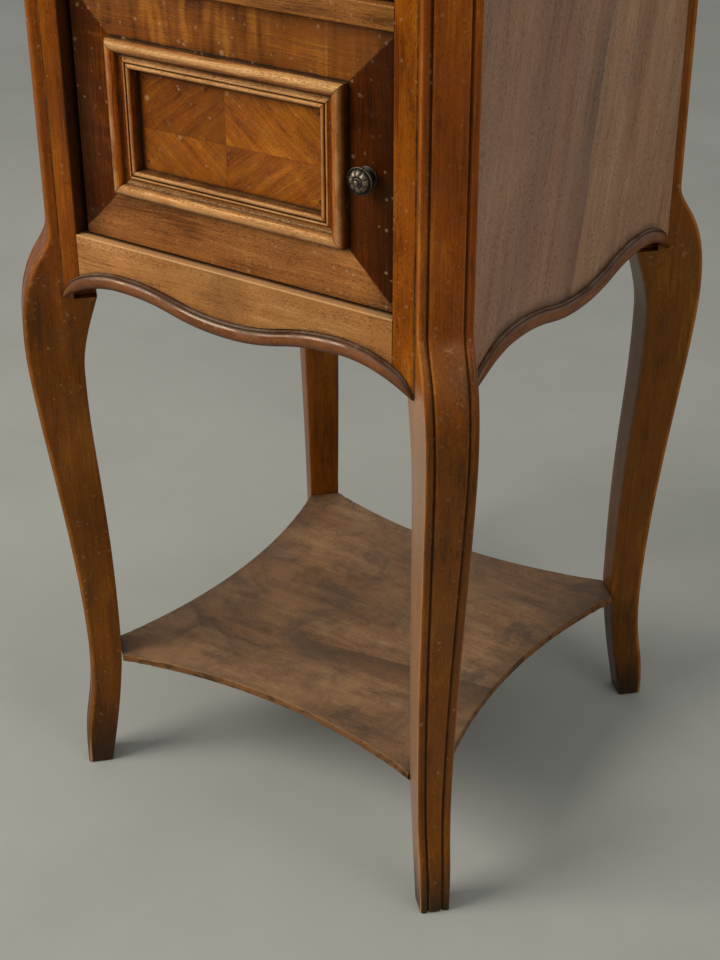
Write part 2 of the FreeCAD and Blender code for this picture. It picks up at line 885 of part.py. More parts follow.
def moulding_section():
    """The section (width, height) of the door moulding, from its outer edge to the panel."""
    cove_end = roll_width + cove_width
    fillet_end = cove_end + fillet_width
    quirk_end = fillet_end + quirk_width
    bead_radius = (moulding_width - quirk_end) / 2
    back_step = moulding_overlap + glue_gap

    def place(width, height):
        return point(0, -door_face - height, door_centre + moulding_half_height - width)

    def arc(start, middle, end):
        return Part.Arc(place(*start), place(*middle), place(*end)).toShape()
    cove_middle = ((roll_width + cove_end) / 2, (roll_inner_height + fillet_height) / 2 - cove_depth)
    bead_top = (quirk_end + bead_radius, inner_bead_foot + bead_radius)
    outline = [
        (cove_end, fillet_height),
        (fillet_end, fillet_height),
        (fillet_end, quirk_height),
        (quirk_end, quirk_height),
        (quirk_end, inner_bead_foot),
    ]
    back = [
        (moulding_width, inner_bead_foot),
        (moulding_width, -panel_setback),
        (back_step, -panel_setback),
        (back_step, 0),
        (0, 0),
        (0, roll_foot_height),
    ]
    edges = [arc(back[-1], (roll_width * roll_top_share, roll_height), (roll_width, roll_inner_height))]
    edges.append(arc((roll_width, roll_inner_height), cove_middle, outline[0]))
    edges += [line_edge(start, end, place) for start, end in zip(outline, outline[1:])]
    edges.append(arc(outline[-1], bead_top, back[0]))
    edges += [line_edge(start, end, place) for start, end in zip(back, back[1:])]
    return Part.Face(Part.Wire(edges))


def door_mouldings():
    """Four mitred lengths of the moulding, cut from one run along X."""
    outlines = mitred_outlines(moulding_half_width, moulding_half_height, moulding_width, door_centre)
    section = moulding_section()
    run = section.translated(point(-moulding_half_width, 0, 0)).extrude(point(2 * moulding_half_width, 0, 0))
    middle = point(0, 0, door_centre)
    upright_run = run.translated(point(0, 0, moulding_half_width - moulding_half_height))
    runs = {
        "top": run,
        "bottom": run.rotated(middle, outward, 180),
        "right": upright_run.rotated(middle, outward, 90),
        "left": upright_run.rotated(middle, outward, -90),
    }
    near_reach = door_face + roll_height + overrun
    far_reach = door_back
    return {side: runs[side].common(front_prism(outlines[side], near_reach, far_reach)) for side in outlines}


def knob(x, z, face):
    """A turned knob on a front face: collar, waisted neck and domed head, bored for its screw."""
    def place(radius, height):
        return point(x + radius, -face - height, z)
    bore = knob_screw_radius + running_gap
    collar = (knob_base_radius, knob_base_height)
    neck = (knob_neck_radius, knob_neck_height)
    brim = (knob_head_radius, knob_head_height)
    cup = (knob_head_radius, knob_neck_height + (knob_head_height - knob_neck_height) * knob_cup_share)
    dome_height = knob_height - knob_head_height
    dome_radius = (knob_head_radius**2 + dome_height**2) / (2 * dome_height)
    dome_middle = knob_height - dome_radius
    half_angle = math.asin(knob_head_radius / dome_radius) / 2
    dome = (dome_radius * math.sin(half_angle), dome_middle + dome_radius * math.cos(half_angle))
    crown = (0, knob_height)
    inside = [crown, (0, knob_bore_depth), (bore, knob_bore_depth), (bore, 0), (knob_base_radius, 0), collar]
    edges = [line_edge(start, end, place) for start, end in zip(inside, inside[1:])]
    edges.append(curve_edge([collar, (knob_neck_radius, knob_base_height), neck], place))
    edges.append(curve_edge([neck, cup, brim], place))
    edges.append(Part.Arc(place(*brim), place(*dome), place(*crown)).toShape())
    return Part.Face(Part.Wire(edges)).revolve(point(x, -face, z), outward, 360)


def knob_screw(x, z, face, back):
    """A machine screw from behind the front into the knob."""
    seat = point(x, -back, z)
    head = rod(knob_screw_head_radius, seat, seat + point(0, knob_screw_head_height, 0))
    tip = point(x, -face - knob_bore_depth + stop_gap, z)
    return head.fuse(rod(knob_screw_radius, tip, seat)).removeSplitter()


def frame_pivot_plate(level, direction):
    """A plate let into the frame, bored for the door's pin."""
    plate = pivot_plate_block(level, direction, 0)
    start = point(pivot_x, pivot_y, level - direction * pivot_plate_thickness)
    end = point(pivot_x, pivot_y, level + 2 * direction * pivot_plate_thickness)
    cuts = [rod(pivot_pin_radius + running_gap, start, end)]
    cuts += [screw_seat(place, point(0, 0, direction)) for place in pivot_screw_places(level)]
    return plate.cut(cuts)


def door_pivot_plate(level, direction):
    """A plate let into the door's end, with a pin that stands out into the frame."""
    plate = pivot_plate_block(level, direction, 0)
    plate = plate.cut([screw_seat(place, point(0, 0, direction)) for place in pivot_screw_places(level)])
    plate = plate.cut(hinge_side_round())
    start = point(pivot_x, pivot_y, level + direction * pivot_plate_thickness)
    end = point(pivot_x, pivot_y, level - direction * (door_gap + pivot_pin_depth))
    return plate.fuse(rod(pivot_pin_radius, start, end)).removeSplitter()


def pivot_washer():
    start = point(pivot_x, pivot_y, opening_base)
    end = start + upright * pivot_washer_thickness
    return tube(pivot_washer_radius, pivot_pin_radius + bore_gap, start, end)


def frame_pivot_screws():
    screws = [screw(place, -upright) for place in pivot_screw_places(opening_base)]
    return group(screws + [screw(place, upright) for place in pivot_screw_places(door_opening_top)])


def door_pivot_screws():
    screws = [screw(place, upright) for place in pivot_screw_places(door_base)]
    return group(screws + [screw(place, -upright) for place in pivot_screw_places(door_top)])


def strike_block(clearance):
    half = strike_length / 2 + clearance
    y_half = strike_width / 2 + clearance
    z_range = (door_opening_top, door_opening_top + strike_thickness + clearance)
    return box((catch_place - half, catch_place + half), (pivot_y - y_half, pivot_y + y_half), z_range)


def strike_screw_places():
    offset = strike_length * strike_screw_place_share
    return [point(catch_place + side * offset, pivot_y, door_opening_top) for side in (-1, 1)]


def strike_plate():
    hole_start = point(catch_place, pivot_y, door_opening_top)
    cuts = [rod(strike_hole_radius, hole_start, hole_start + upright * strike_thickness)]
    cuts += [screw_seat(place, upright) for place in strike_screw_places()]
    return strike_block(0).cut(cuts)


def strike_screws():
    return group([screw(place, upright) for place in strike_screw_places()])


def catch_ball_centre():
    return point(catch_place, pivot_y, door_top + catch_ball_proud - catch_ball_radius)


def catch_barrel():
    top = point(catch_place, pivot_y, door_top)
    base = top - upright * catch_barrel_depth
    bore_end = base + upright * catch_floor
    return rod(catch_barrel_radius, base, top).cut(rod(catch_ball_radius + running_gap, bore_end, top))


def catch_spring():
    """A coil spring that stands on the barrel's floor under the ball."""
    floor = door_top - catch_barrel_depth + catch_floor
    base = floor + catch_wire_radius + running_gap
    top = catch_ball_centre().z - catch_ball_radius + catch_wire_radius
    height = top - base
    path = Part.makeHelix(height / catch_coil_count, height, catch_coil_radius)
    section = Part.Wire(Part.makeCircle(catch_wire_radius, point(catch_coil_radius, 0, 0), outward))
    coil = Part.Wire(path.Edges).makePipeShell([section], True, True)
    return coil.translated(point(catch_place, pivot_y, base))


def dovetails(clearance):
    """The tails at the front end of the right drawer side."""
    tails = []
    x_range = (drawer_inner_half - clearance, drawer_half_width)
    for share in dovetail_place_shares:
        middle = drawer_side_base + drawer_side_height * share
        wide = dovetail_width / 2 + clearance
        slim = wide - dovetail_flare
        near_y = -drawer_joint
        far_y = near_y - dovetail_length - clearance
        corners = [(near_y, middle - slim), (far_y, middle - wide), (far_y, middle + wide), (near_y, middle + slim)]
        tails.append(prism([point(x_range[0], y, z) for y, z in corners], point(x_range[1] - x_range[0], 0, 0)))
    return tails


def drawer_bottom_block(clearance):
    half_x = drawer_inner_half + drawer_groove_depth + clearance
    y_range = (-drawer_joint - drawer_groove_depth - clearance, drawer_tail)
    return box(span(half_x), y_range, (drawer_bottom_base - clearance, drawer_bottom_top + clearance))


def drawer_front():
    z_range = (drawer_front_base, drawer_front_top)
    core = box(span(drawer_half_width), (-drawer_core_face, -drawer_joint), z_range)
    sockets = dovetails(glue_gap)
    cuts = sockets + [mirror_x(socket) for socket in sockets]
    cuts.append(drawer_bottom_block(glue_gap))
    start = point(0, -drawer_joint, drawer_centre)
    cuts.append(rod(knob_screw_radius + bore_gap, start, point(0, -drawer_core_face, drawer_centre)))
    return core.cut(cuts)


def drawer_half_height():
    return (drawer_front_top - drawer_front_base) / 2


def drawer_bands():
    """Four mitred bands of veneer round the drawer front."""
    outlines = mitred_outlines(drawer_half_width, drawer_half_height(), drawer_band_width, drawer_centre)
    return group([front_prism(outline, drawer_face, drawer_core_face) for outline in outlines.values()])


def drawer_field():
    half_x = drawer_half_width - drawer_band_width
    half_z = drawer_half_height() - drawer_band_width
    z_range = (drawer_centre - half_z, drawer_centre + half_z)
    field = box(span(half_x), (-drawer_face, -drawer_core_face), z_range)
    start = point(0, -drawer_core_face, drawer_centre)
    return field.cut(rod(knob_screw_radius + bore_gap, start, point(0, -drawer_face, drawer_centre)))


def drawer_back_y_range(clearance):
    end = drawer_tail - drawer_back_setback
    return (end - drawer_back_thickness - clearance, end + clearance)


def drawer_back_block(clearance):
    half_x = drawer_inner_half + drawer_back_housing + clearance
    z_range = (drawer_bottom_top, drawer_side_top - drawer_back_drop + clearance)
    return box(span(half_x), drawer_back_y_range(clearance), z_range)


def drawer_side_right():
    x_range = (drawer_inner_half, drawer_half_width)
    side = box(x_range, (-drawer_joint, drawer_tail), (drawer_side_base, drawer_side_top))
    side = side.fuse(dovetails(0)).removeSplitter()
    return side.cut([drawer_bottom_block(glue_gap), drawer_back_block(glue_gap)])


def write(name, shape):
    shape.exportStep("parts/" + name + ".step")


def write_pair(name, right_shape):
    write(name + "_right", right_shape)
    write(name + "_left", mirror_x(right_shape))


def write_case():
    leg = leg_on_x()
    for corner, angle in corner_angles.items():
        write("leg_" + corner, turned(leg, angle))
    write_pair("front_stile", front_stile_right())
    write("front_apron", front_apron())
    write("front_bead", turned(bead_strip(front_reach), 180))
    write_pair("side_panel", side_panel_right())
    write_pair("side_bead", turned(bead_strip(side_reach), -90))
    write("back_panel", keyed_board(back_reach, back_thickness, back_panel_base, case_top))
    write("cupboard_floor", plan_prism(board_outline(), opening_base - floor_thickness, opening_base))
    write("divider_rail", divider_rail())
    write("dust_board", plan_prism(board_outline(), dust_board_base, drawer_opening_base))
    write("top_rail", top_rail())
    write("back_top_rail", back_top_rail())
    write("drawer_guides", drawer_guides())
    write("drawer_kickers", drawer_kickers())
    write("drawer_stops", drawer_stops())
    write("door_stop", door_stop())
    write("glue_blocks", glue_blocks())
    write("marble_top", marble_top())
    write("lower_shelf", lower_shelf())
    write("shelf_dowels", shelf_dowels())


def write_door():
    for side, length in door_frame().items():
        write("door_frame_" + side, length)
    for side, length in door_mouldings().items():
        write("door_moulding_" + side, length)
    write("door_panel_core", door_panel_core())
    write("door_veneer", door_veneer())
    write("panel_slips", panel_slips())
    write("door_knob", knob(knob_x, knob_z, door_face))
    write("door_knob_screw", knob_screw(knob_x, knob_z, door_face, door_back))


def write_hardware():
    write("pivot_plate_frame_lower", frame_pivot_plate(opening_base, -1))
    write("pivot_plate_frame_upper", frame_pivot_plate(door_opening_top, 1))
    write("pivot_plate_door_lower", door_pivot_plate(door_base, 1))
    write("pivot_plate_door_upper", door_pivot_plate(door_top, -1))
    write("pivot_washer", pivot_washer())
    write("frame_pivot_screws", frame_pivot_screws())
    write("door_pivot_screws", door_pivot_screws())
    write("strike_plate", strike_plate())
    write("strike_screws", strike_screws())
    write("catch_barrel", catch_barrel())
    write("catch_spring", catch_spring())
    write("catch_ball", Part.makeSphere(catch_ball_radius, catch_ball_centre()))


def write_drawer():
    write("drawer_front", drawer_front())
    write("drawer_bands", drawer_bands())
    write("drawer_field", drawer_field())
    write_pair("drawer_side", drawer_side_right())
    write("drawer_back", drawer_back_block(0))
    write("drawer_bottom", drawer_bottom_block(0))
    write("drawer_knob", knob(0, drawer_centre, drawer_face))
    write("drawer_knob_screw", knob_screw(0, drawer_centre, drawer_face, drawer_joint))


os.makedirs("parts", exist_ok=True)
write_case()
write_door()
write_hardware()
write_drawer()
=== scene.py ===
import bmesh
import bpy
import math
import numpy as np
from mathutils import Matrix, Vector


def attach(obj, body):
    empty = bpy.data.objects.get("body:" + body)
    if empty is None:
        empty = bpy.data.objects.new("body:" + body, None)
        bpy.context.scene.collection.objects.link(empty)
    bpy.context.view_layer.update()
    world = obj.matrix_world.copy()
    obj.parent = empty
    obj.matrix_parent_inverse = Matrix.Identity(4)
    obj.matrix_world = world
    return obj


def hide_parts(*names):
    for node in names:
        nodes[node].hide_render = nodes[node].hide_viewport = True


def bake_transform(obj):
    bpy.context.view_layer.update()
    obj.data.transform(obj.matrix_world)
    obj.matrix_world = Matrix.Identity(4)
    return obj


# A walnut nightstand on cabriole legs. Shapes are worked out in millimetres; meshes and materials are in metres.

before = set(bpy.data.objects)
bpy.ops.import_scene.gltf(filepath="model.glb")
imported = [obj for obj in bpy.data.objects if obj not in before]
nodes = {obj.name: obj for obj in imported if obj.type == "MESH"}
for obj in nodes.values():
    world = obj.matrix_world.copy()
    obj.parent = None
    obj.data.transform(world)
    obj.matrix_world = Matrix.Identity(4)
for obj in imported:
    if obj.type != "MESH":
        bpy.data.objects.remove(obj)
scene = bpy.context.scene
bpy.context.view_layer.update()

MM = 0.001
WELD = 1e-7

# Case
REACH = 186.0
DIAGONAL = math.sqrt(0.5)
CASE_TOP = 830.0
DOOR_FACE = 178.0
DOOR_CENTRE = 607.25
SIGHT_HALF = (86.5, 43.25)
MOULDING_HALF = (100.0, 56.75)
MOULDING_WIDTH = 19.5
DOOR_KNOB = (115.5, DOOR_CENTRE - 3.7)
DRAWER_KNOB = (0.0, 767.0)

# Legs, measured along the diagonal
POST = 2 * REACH * DIAGONAL - 11.5
POST_HALF = 19.5
CORE_HALF = 11.0
LIP = POST - 15.5
POST_BACK = LIP - 18.0
SHOULDER = 453.0
BROW = 508.0
KNEE, ANKLE, TOE = (POST + 25.5, 418.0), (POST - 2.0, 108.0), (POST + 7.5, 0.0)
KNEE_BACK, ANKLE_BACK, TOE_BACK = (KNEE[0] - 44.7, 390.0), (ANKLE[0] - 27.5, 135.0), (TOE[0] - 21.0, 0.0)
TOE_HALF = 12.0
GROOVE_EDGE = 7.7
BEAD_RADIUS, BEAD_RISE = 2.8, 2.2

# Serpentine bead, and the boards that follow it up to the posts
DIP, CREST, RISE = 462.0, 98.0, 12.7
BEAD_HEIGHT, BEAD_PROUD, BEAD_DEPTH = 12.0, 5.5, 8.0
TIP_BASE, TIP_HEIGHT, TIP_PROUD = 455.0, 1.6, 2.0
POST_CLEAR = 19.6 / DIAGONAL
CORE_CLEAR = 11.1 / DIAGONAL
RUN_END = REACH - POST_CLEAR
STILE_START, STILE_THICK, PANEL_THICK = 140.0, 24.0, 14.0

# Catch spring
SPRING_PLACE, SPRING_LOW, SPRING_HIGH = (112.0, -169.0), 688.3, 698.75
SPRING_RADIUS, WIRE_RADIUS, SPRING_TURNS = 1.9, 0.25, 6


# Meshes

def tube_faces(rows, columns, folds):
    """Quads between neighbouring rings, and a face over the first and the last ring that folds this many times as it
    leaves the ring's start and end; None leaves those faces out."""
    row, column = np.meshgrid(np.arange(rows - 1), np.arange(columns), indexing="ij")
    after = (column + 1) % columns
    start, above = row * columns, (row + 1) * columns
    faces = np.stack([start + column, start + after, above + after, above + column], -1).reshape(-1, 4).tolist()
    if folds is not None:
        last = (rows - 1) * columns
        cap = [[place, place + 1, columns - 2 - place, columns - 1 - place] for place in range(folds)]
        cap.append(list(range(folds, columns - folds)))
        faces += cap + [[last + place for place in face] for face in cap]
    return faces


def new_object(name, data):
    made = bpy.data.objects.new(name, data)
    scene.collection.objects.link(made)
    return made


def make_piece(name, body, replaced, points, material, masks, folds=0, crease=38):
    """A closed mesh from rings of points in millimetres; its masks become attributes that its material reads."""
    points = np.stack(np.broadcast_arrays(*points), -1) * MM
    shape = points.shape[:2]
    mesh = bpy.data.meshes.new(name)
    mesh.from_pydata(points.reshape(-1, 3).tolist(), [], tube_faces(*shape, folds))
    for key, values in masks.items():
        values = np.ascontiguousarray(np.broadcast_to(values, shape), dtype=np.float32).ravel()
        mesh.attributes.new(key, "FLOAT", "POINT").data.foreach_set("value", values)
    shell = bmesh.new()
    shell.from_mesh(mesh)
    bmesh.ops.remove_doubles(shell, verts=shell.verts[:], dist=WELD)
    bmesh.ops.dissolve_degenerate(shell, edges=shell.edges[:], dist=WELD)
    bmesh.ops.recalc_face_normals(shell, faces=shell.faces)
    shell.to_mesh(mesh)
    shell.free()
    mesh.polygons.foreach_set("use_smooth", np.ones(len(mesh.polygons), dtype=bool))
    mesh.set_sharp_from_angle(angle=math.radians(crease))
    mesh.materials.append(material)
    piece = new_object(name, mesh)
    if body:
        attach(piece, body)
    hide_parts(*replaced)
    return piece


def around(across, out, level, bearing):
    """Points by their place across and out from the middle, turned to a bearing in degrees about the upright axis."""
    cosine, sine = math.cos(math.radians(bearing)), math.sin(math.radians(bearing))
    return out * cosine - across * sine, out * sine + across * cosine, level


def wave(along, seed, lengths):
    """Slow unevenness of hand work: the mean of sines of these lengths with seeded phases."""
    phases = np.random.default_rng(seed).uniform(0, 2 * math.pi, len(lengths))
    return sum(np.sin(2 * math.pi * along / length + phase) for length, phase in zip(lengths, phases)) / len(lengths)


# Shader helpers

class Value:
    """The output of a shader node; arithmetic with it adds math nodes to its tree."""

    def __init__(self, socket):
        self.socket, self.tree = socket, socket.id_data

    def __add__(self, other):
        return calc("ADD", self, other)

    def __sub__(self, other):
        return calc("SUBTRACT", self, other)

    def __mul__(self, other):
        return calc("MULTIPLY", self, other)

    def __abs__(self):
        return calc("ABSOLUTE", self)


def tone(red, green, blue):
    """A paint chip's 0 to 255 values as a linear colour."""
    share = np.array([red, green, blue]) / 255
    linear = np.where(share <= 0.04045, share / 12.92, ((share + 0.055) / 1.055) ** 2.4)
    return (*(float(value) for value in linear), 1.0)


def fill(node, inputs):
    """Joins values to a node's inputs, and sets constants on them."""
    for key, value in inputs.items():
        if isinstance(value, Value):
            value.tree.links.new(value.socket, node.inputs[key])
        else:
            node.inputs[key].default_value = value


def add(kind, inputs, tree=None, **settings):
    """A node in the tree given, or in the tree of the first value among its inputs."""
    tree = tree or next(value.tree for value in inputs.values() if isinstance(value, Value))
    node = tree.nodes.new("ShaderNode" + kind)
    for key, value in settings.items():
        setattr(node, key, value)
    fill(node, inputs)
    return node


def output(kind, inputs, key=0, tree=None, **settings):
    return Value(add(kind, inputs, tree, **settings).outputs[key])


def calc(operation, *values, clamp=False):
    return output("Math", dict(enumerate(values)), operation=operation, use_clamp=clamp)


def vector_calc(operation, first, second, key=0):
    return output("VectorMath", {0: first, 1: second}, key, operation=operation)


def ramp(value, low, high, start=0.0, end=1.0):
    """Value eased from low to high onto start to end."""
    inputs = {"Value": value, "From Min": low, "From Max": high, "To Min": start, "To Max": end}
    return output("MapRange", inputs, interpolation_type="SMOOTHSTEP")


def mix(share, first, second, mode="MIX"):
    return output("Mix", {0: share, 6: first, 7: second}, 2, data_type="RGBA", blend_type=mode)


def tinted(share, color, factors):
    """The colour, multiplied by factors where the share is full."""
    return mix(share, color, mix(1.0, color, (*factors, 1), "MULTIPLY"))


def noise(vector, scale, detail=3.0, rough=0.55, bend=0.0, key="Fac"):
    inputs = {"Vector": vector, "Scale": scale, "Detail": detail, "Roughness": rough, "Distortion": bend}
    return output("TexNoise", inputs, key)


def stretched(vector, along, across, depth=None):
    return vector_calc("MULTIPLY", vector, (along, across, across if depth is None else depth))


def turned(vector, turn):
    return output("Mapping", {"Vector": vector, "Rotation": [math.radians(angle) for angle in turn]})


def axes(vector):
    return [Value(socket) for socket in add("SeparateXYZ", {0: vector}).outputs]


def attribute(tree, name):
    return output("Attribute", {}, "Fac", tree, attribute_name=name)


def normal(tree):
    return output("NewGeometry", {}, "Normal", tree)


SOCKET_KINDS = {"Vector": "Vector", "Color": "Color", "Dark": "Color", "Mid": "Color", "Light": "Color"}


def new_group(name, inputs, outputs):
    """An empty node group with named sockets; its inputs as values, and its output node."""
    group = bpy.data.node_groups.new(name, "ShaderNodeTree")
    for way, keys in (("INPUT", inputs), ("OUTPUT", outputs)):
        for key in keys:
            group.interface.new_socket(key, in_out=way, socket_type="NodeSocket" + SOCKET_KINDS.get(key, "Float"))
    given = group.nodes.new("NodeGroupInput").outputs
    return group, {key: Value(given[key]) for key in inputs}, group.nodes.new("NodeGroupOutput")


def use(group, **inputs):
    return {socket.name: Value(socket) for socket in add("Group", inputs, node_tree=group).outputs}


# Shared effects

def grain_group():
    """Walnut with its grain along X: streaks, growth rings, cross figure, blotches and pores."""
    group, given, out = new_group(
        "walnut_grain", ("Vector", "Seed", "Dark", "Mid", "Light", "Streak", "Rings", "Figure", "Blotch", "Pores"),
        ("Color", "Gloss", "Height"))
    shift = output("CombineXYZ", dict.fromkeys(range(3), given["Seed"]))
    place = vector_calc("ADD", given["Vector"], shift)
    sway = vector_calc("SUBTRACT", noise(place, 7.0, 2.0, 0.5, key="Color"), (0.5, 0.5, 0.5))
    place = vector_calc("ADD", place, vector_calc("MULTIPLY", sway, (0.0, 0.010, 0.010)))

    broad = noise(stretched(place, 3.2, 75), 1.0, 3.0, 0.5)
    fine = noise(stretched(place, 10, 460), 1.0, 4.0, 0.7)
    hair = noise(stretched(place, 34, 1250), 1.0, 2.0, 0.6)
    streak = (broad * 0.4 + fine * 0.5 + hair * 0.5 - 0.7) * given["Streak"]

    field = noise(stretched(place, 1.7, 15), 1.0, 1.0, 0.4)
    rings = calc("SINE", field * 62.0) * 0.5 * given["Rings"]

    ripple = noise(stretched(place, 95, 14), 1.0, 1.5, 0.5, 0.6)
    patch = ramp(noise(place, 11.0, 2.0), 0.38, 0.62)
    figure = (ripple - 0.5) * (patch + 0.35) * given["Figure"]

    cloud = noise(stretched(place, 10, 22), 1.0, 4.0, 0.6)
    blotch = (cloud - 0.5) * given["Blotch"]

    level = (streak + rings) + (figure + blotch)
    level = calc("ADD", level * 2.2, 0.5, clamp=True)
    color = mix(ramp(level, 0.0, 0.5), given["Dark"], given["Mid"])
    color = mix(ramp(level, 0.5, 1.0), color, given["Light"])
    warmth = ramp(noise(stretched(place, 7, 30), 1.0, 3.0, 0.6), 0.34, 0.66)
    hue = mix(warmth, (0.98, 1.02, 1.06, 1), (1.03, 0.975, 0.92, 1))
    color = mix(1.0, color, hue, "MULTIPLY")

    dash = noise(stretched(place, 400, 1700), 1.0, 1.0, 0.5)
    crowd = ramp(noise(stretched(place, 6, 150), 1.0, 2.0), 0.32, 0.68, 0.06, -0.06)
    pore = ramp(dash - crowd, 0.54, 0.68) * given["Pores"]
    color = tinted(pore * 0.85, color, (0.50, 0.42, 0.38))
    fill(out, {"Color": color, "Gloss": cloud * 0.5 + pore * 0.35, "Height": fine * 0.35 - pore})
    return group


def age_group():
    """Masks of age: rubbed edges, grime with painted shade in corners, dust specks, cloudy wax and dusty ledges."""
    group, given, out = new_group("age_marks", ("Vector",), ("Edge", "Grime_And_Shade", "Speck", "Cloud", "Ledge"))
    place = given["Vector"]
    soft = output("Bevel", {"Radius": 0.0016}, 0, group, samples=4)
    hard = normal(group)
    edge = ramp(vector_calc("DOT_PRODUCT", soft, hard, "Value"), 0.995, 0.86)
    edge = edge * ramp(noise(place, 55.0, 4.0, 0.65), 0.36, 0.66)

    # Grime with painted shade: darker where ambient occlusion finds hollows and corners.
    hollow = output("AmbientOcclusion", {"Distance": 0.007}, "AO", group, samples=5)
    uneven = noise(place, 70.0, 3.0, 0.6)
    grime = ramp(hollow + uneven * 0.25, 0.98, 0.50)

    ragged = stretched(noise(place, 420.0, 2.0, 0.5, key="Color"), 0.0022, 0.0022)
    ragged = vector_calc("ADD", place, ragged)
    spots = []
    for size, share, reach in ((190.0, 0.30, 0.32), (70.0, 0.50, 0.19)):
        cells = add("TexVoronoi", {"Vector": ragged, "Scale": size, "Randomness": 1.0}).outputs
        pick = add("SeparateColor", {0: Value(cells["Color"])}).outputs
        away = ramp(Value(pick[0]), share, 1.0, 0.0, reach) - Value(cells["Distance"])
        spots.append(ramp(away, 0.0, 0.14) * ramp(Value(pick[1]), 0.0, 1.0, 0.15, 1.0))
    fall = ramp(noise(place, 9.0, 2.0), 0.36, 0.60, 0.15, 1.0) * ramp(axes(place)[1], -0.166, -0.172, 0.3, 1.0)
    fill(out, {"Edge": edge, "Grime_And_Shade": grime, "Speck": calc("MAXIMUM", *spots) * fall,
               "Cloud": noise(place, 16.0, 5.0, 0.62, 0.4), "Ledge": ramp(axes(hard)[2] + uneven * 0.3, 0.72, 1.05)})
    return group


def door_lines_group():
    """Lines on the door by distance: its frame's mitres, and a painted shadow line round its moulding."""
    group, given, out = new_group("door_lines", ("Vector",), ("Mitre", "Moulding_Shadow"))
    place = given["Vector"]
    across, _, up = axes(place)
    across, up = abs(across), abs(up - DOOR_CENTRE * MM)
    lean = across - up - (SIGHT_HALF[0] - SIGHT_HALF[1]) * MM
    beyond = calc("MAXIMUM", across - MOULDING_HALF[0] * MM, up - MOULDING_HALF[1] * MM)
    beyond = beyond - noise(place, 160.0, 2.0) * 0.0016
    # Moulding_Shadow: a painted shadow line just outside the moulding.
    fill(out, {"Mitre": ramp(abs(lean), 0.0003, 0.0009, 1.0, 0.0),
               "Moulding_Shadow": ramp(beyond, 0.0001, 0.0012, 1.0, 0.0)})
    return group


GRAIN = grain_group()
AGE = age_group()
DOOR_LINES = door_lines_group()
# Near-black brown for grime, dark joints and painted shade.
GRIME_AND_SHADE = tone(20, 11, 5)
ALONG_X = (0, 0, 0)
ALONG_Y = (0, 0, -90)
ALONG_Z = (0, 90, 0)


# Woods

def start_material(name):
    """A material with only its surface shader and output; the shader, and the place on the object."""
    material = bpy.data.materials.new(name)
    material.use_nodes = True
    tree = material.node_tree
    tree.nodes.clear()
    shader = add("BsdfPrincipled", {}, tree)
    add("OutputMaterial", {"Surface": Value(shader.outputs[0])})
    return material, shader, output("TexCoord", {}, "Object", tree)


# grime weighs the occlusion mask: grime together with painted shade in hollows.
LOOK = {"edge": 0.6, "grime": 0.6, "dust": 0.03, "specks": 0.25, "ledge": 0.0, "rough": 0.26, "patchy": 0.0,
        "relief": 0.35, "shine": 0.32, "amber": (1.0, 0.66, 0.34, 1)}


def finish_wood(shader, color, wood, marks, look):
    """Joins a wood's colour, wear and relief to its shader."""
    color = mix(marks["Edge"] * look["edge"], color, mix(0.55, color, tone(190, 126, 56)))
    # Grime and painted shade in hollows and corners, from the occlusion mask.
    color = mix(marks["Grime_And_Shade"] * look["grime"], color, GRIME_AND_SHADE)
    color = mix(ramp(marks["Cloud"], 0.42, 0.78) * look["dust"], color, tone(150, 132, 112))
    color = mix(marks["Ledge"] * look["ledge"], color, tone(150, 138, 124))
    color = mix(marks["Speck"] * look["specks"], color, tone(184, 148, 108))
    rough = wood["Gloss"] * 0.22 + look["rough"] + marks["Cloud"] * 0.16
    rough = rough + ramp(marks["Cloud"], 0.44, 0.60, 0.0, look["patchy"])
    rough = calc("ADD", rough, marks["Grime_And_Shade"] * 0.2, clamp=True)
    bump = output("Bump", {"Strength": look["relief"], "Distance": 0.0004, "Height": wood["Height"]})
    fill(shader, {"Base Color": color, "Roughness": rough, "Normal": bump, "Specular IOR Level": look["shine"],
                  "Specular Tint": look["amber"]})


def walnut(name, turn, seed, tones, streak=1.0, rings=0.0, figure=0.0, blotch=0.5, pores=1.0, extra=None, **look):
    """A waxed walnut in dark, mid and light tones; extra(color, place) may add marks of one piece to the colour."""
    material, shader, place = start_material(name)
    dark, mid, light = (tone(*chip) for chip in tones)
    wood = use(GRAIN, Vector=turned(place, turn), Seed=seed, Dark=dark, Mid=mid, Light=light,
               Streak=streak, Rings=rings, Figure=figure, Blotch=blotch, Pores=pores)
    color = extra(wood["Color"], place) if extra else wood["Color"]
    finish_wood(shader, color, wood, use(AGE, Vector=place), {**LOOK, **look})
    return material


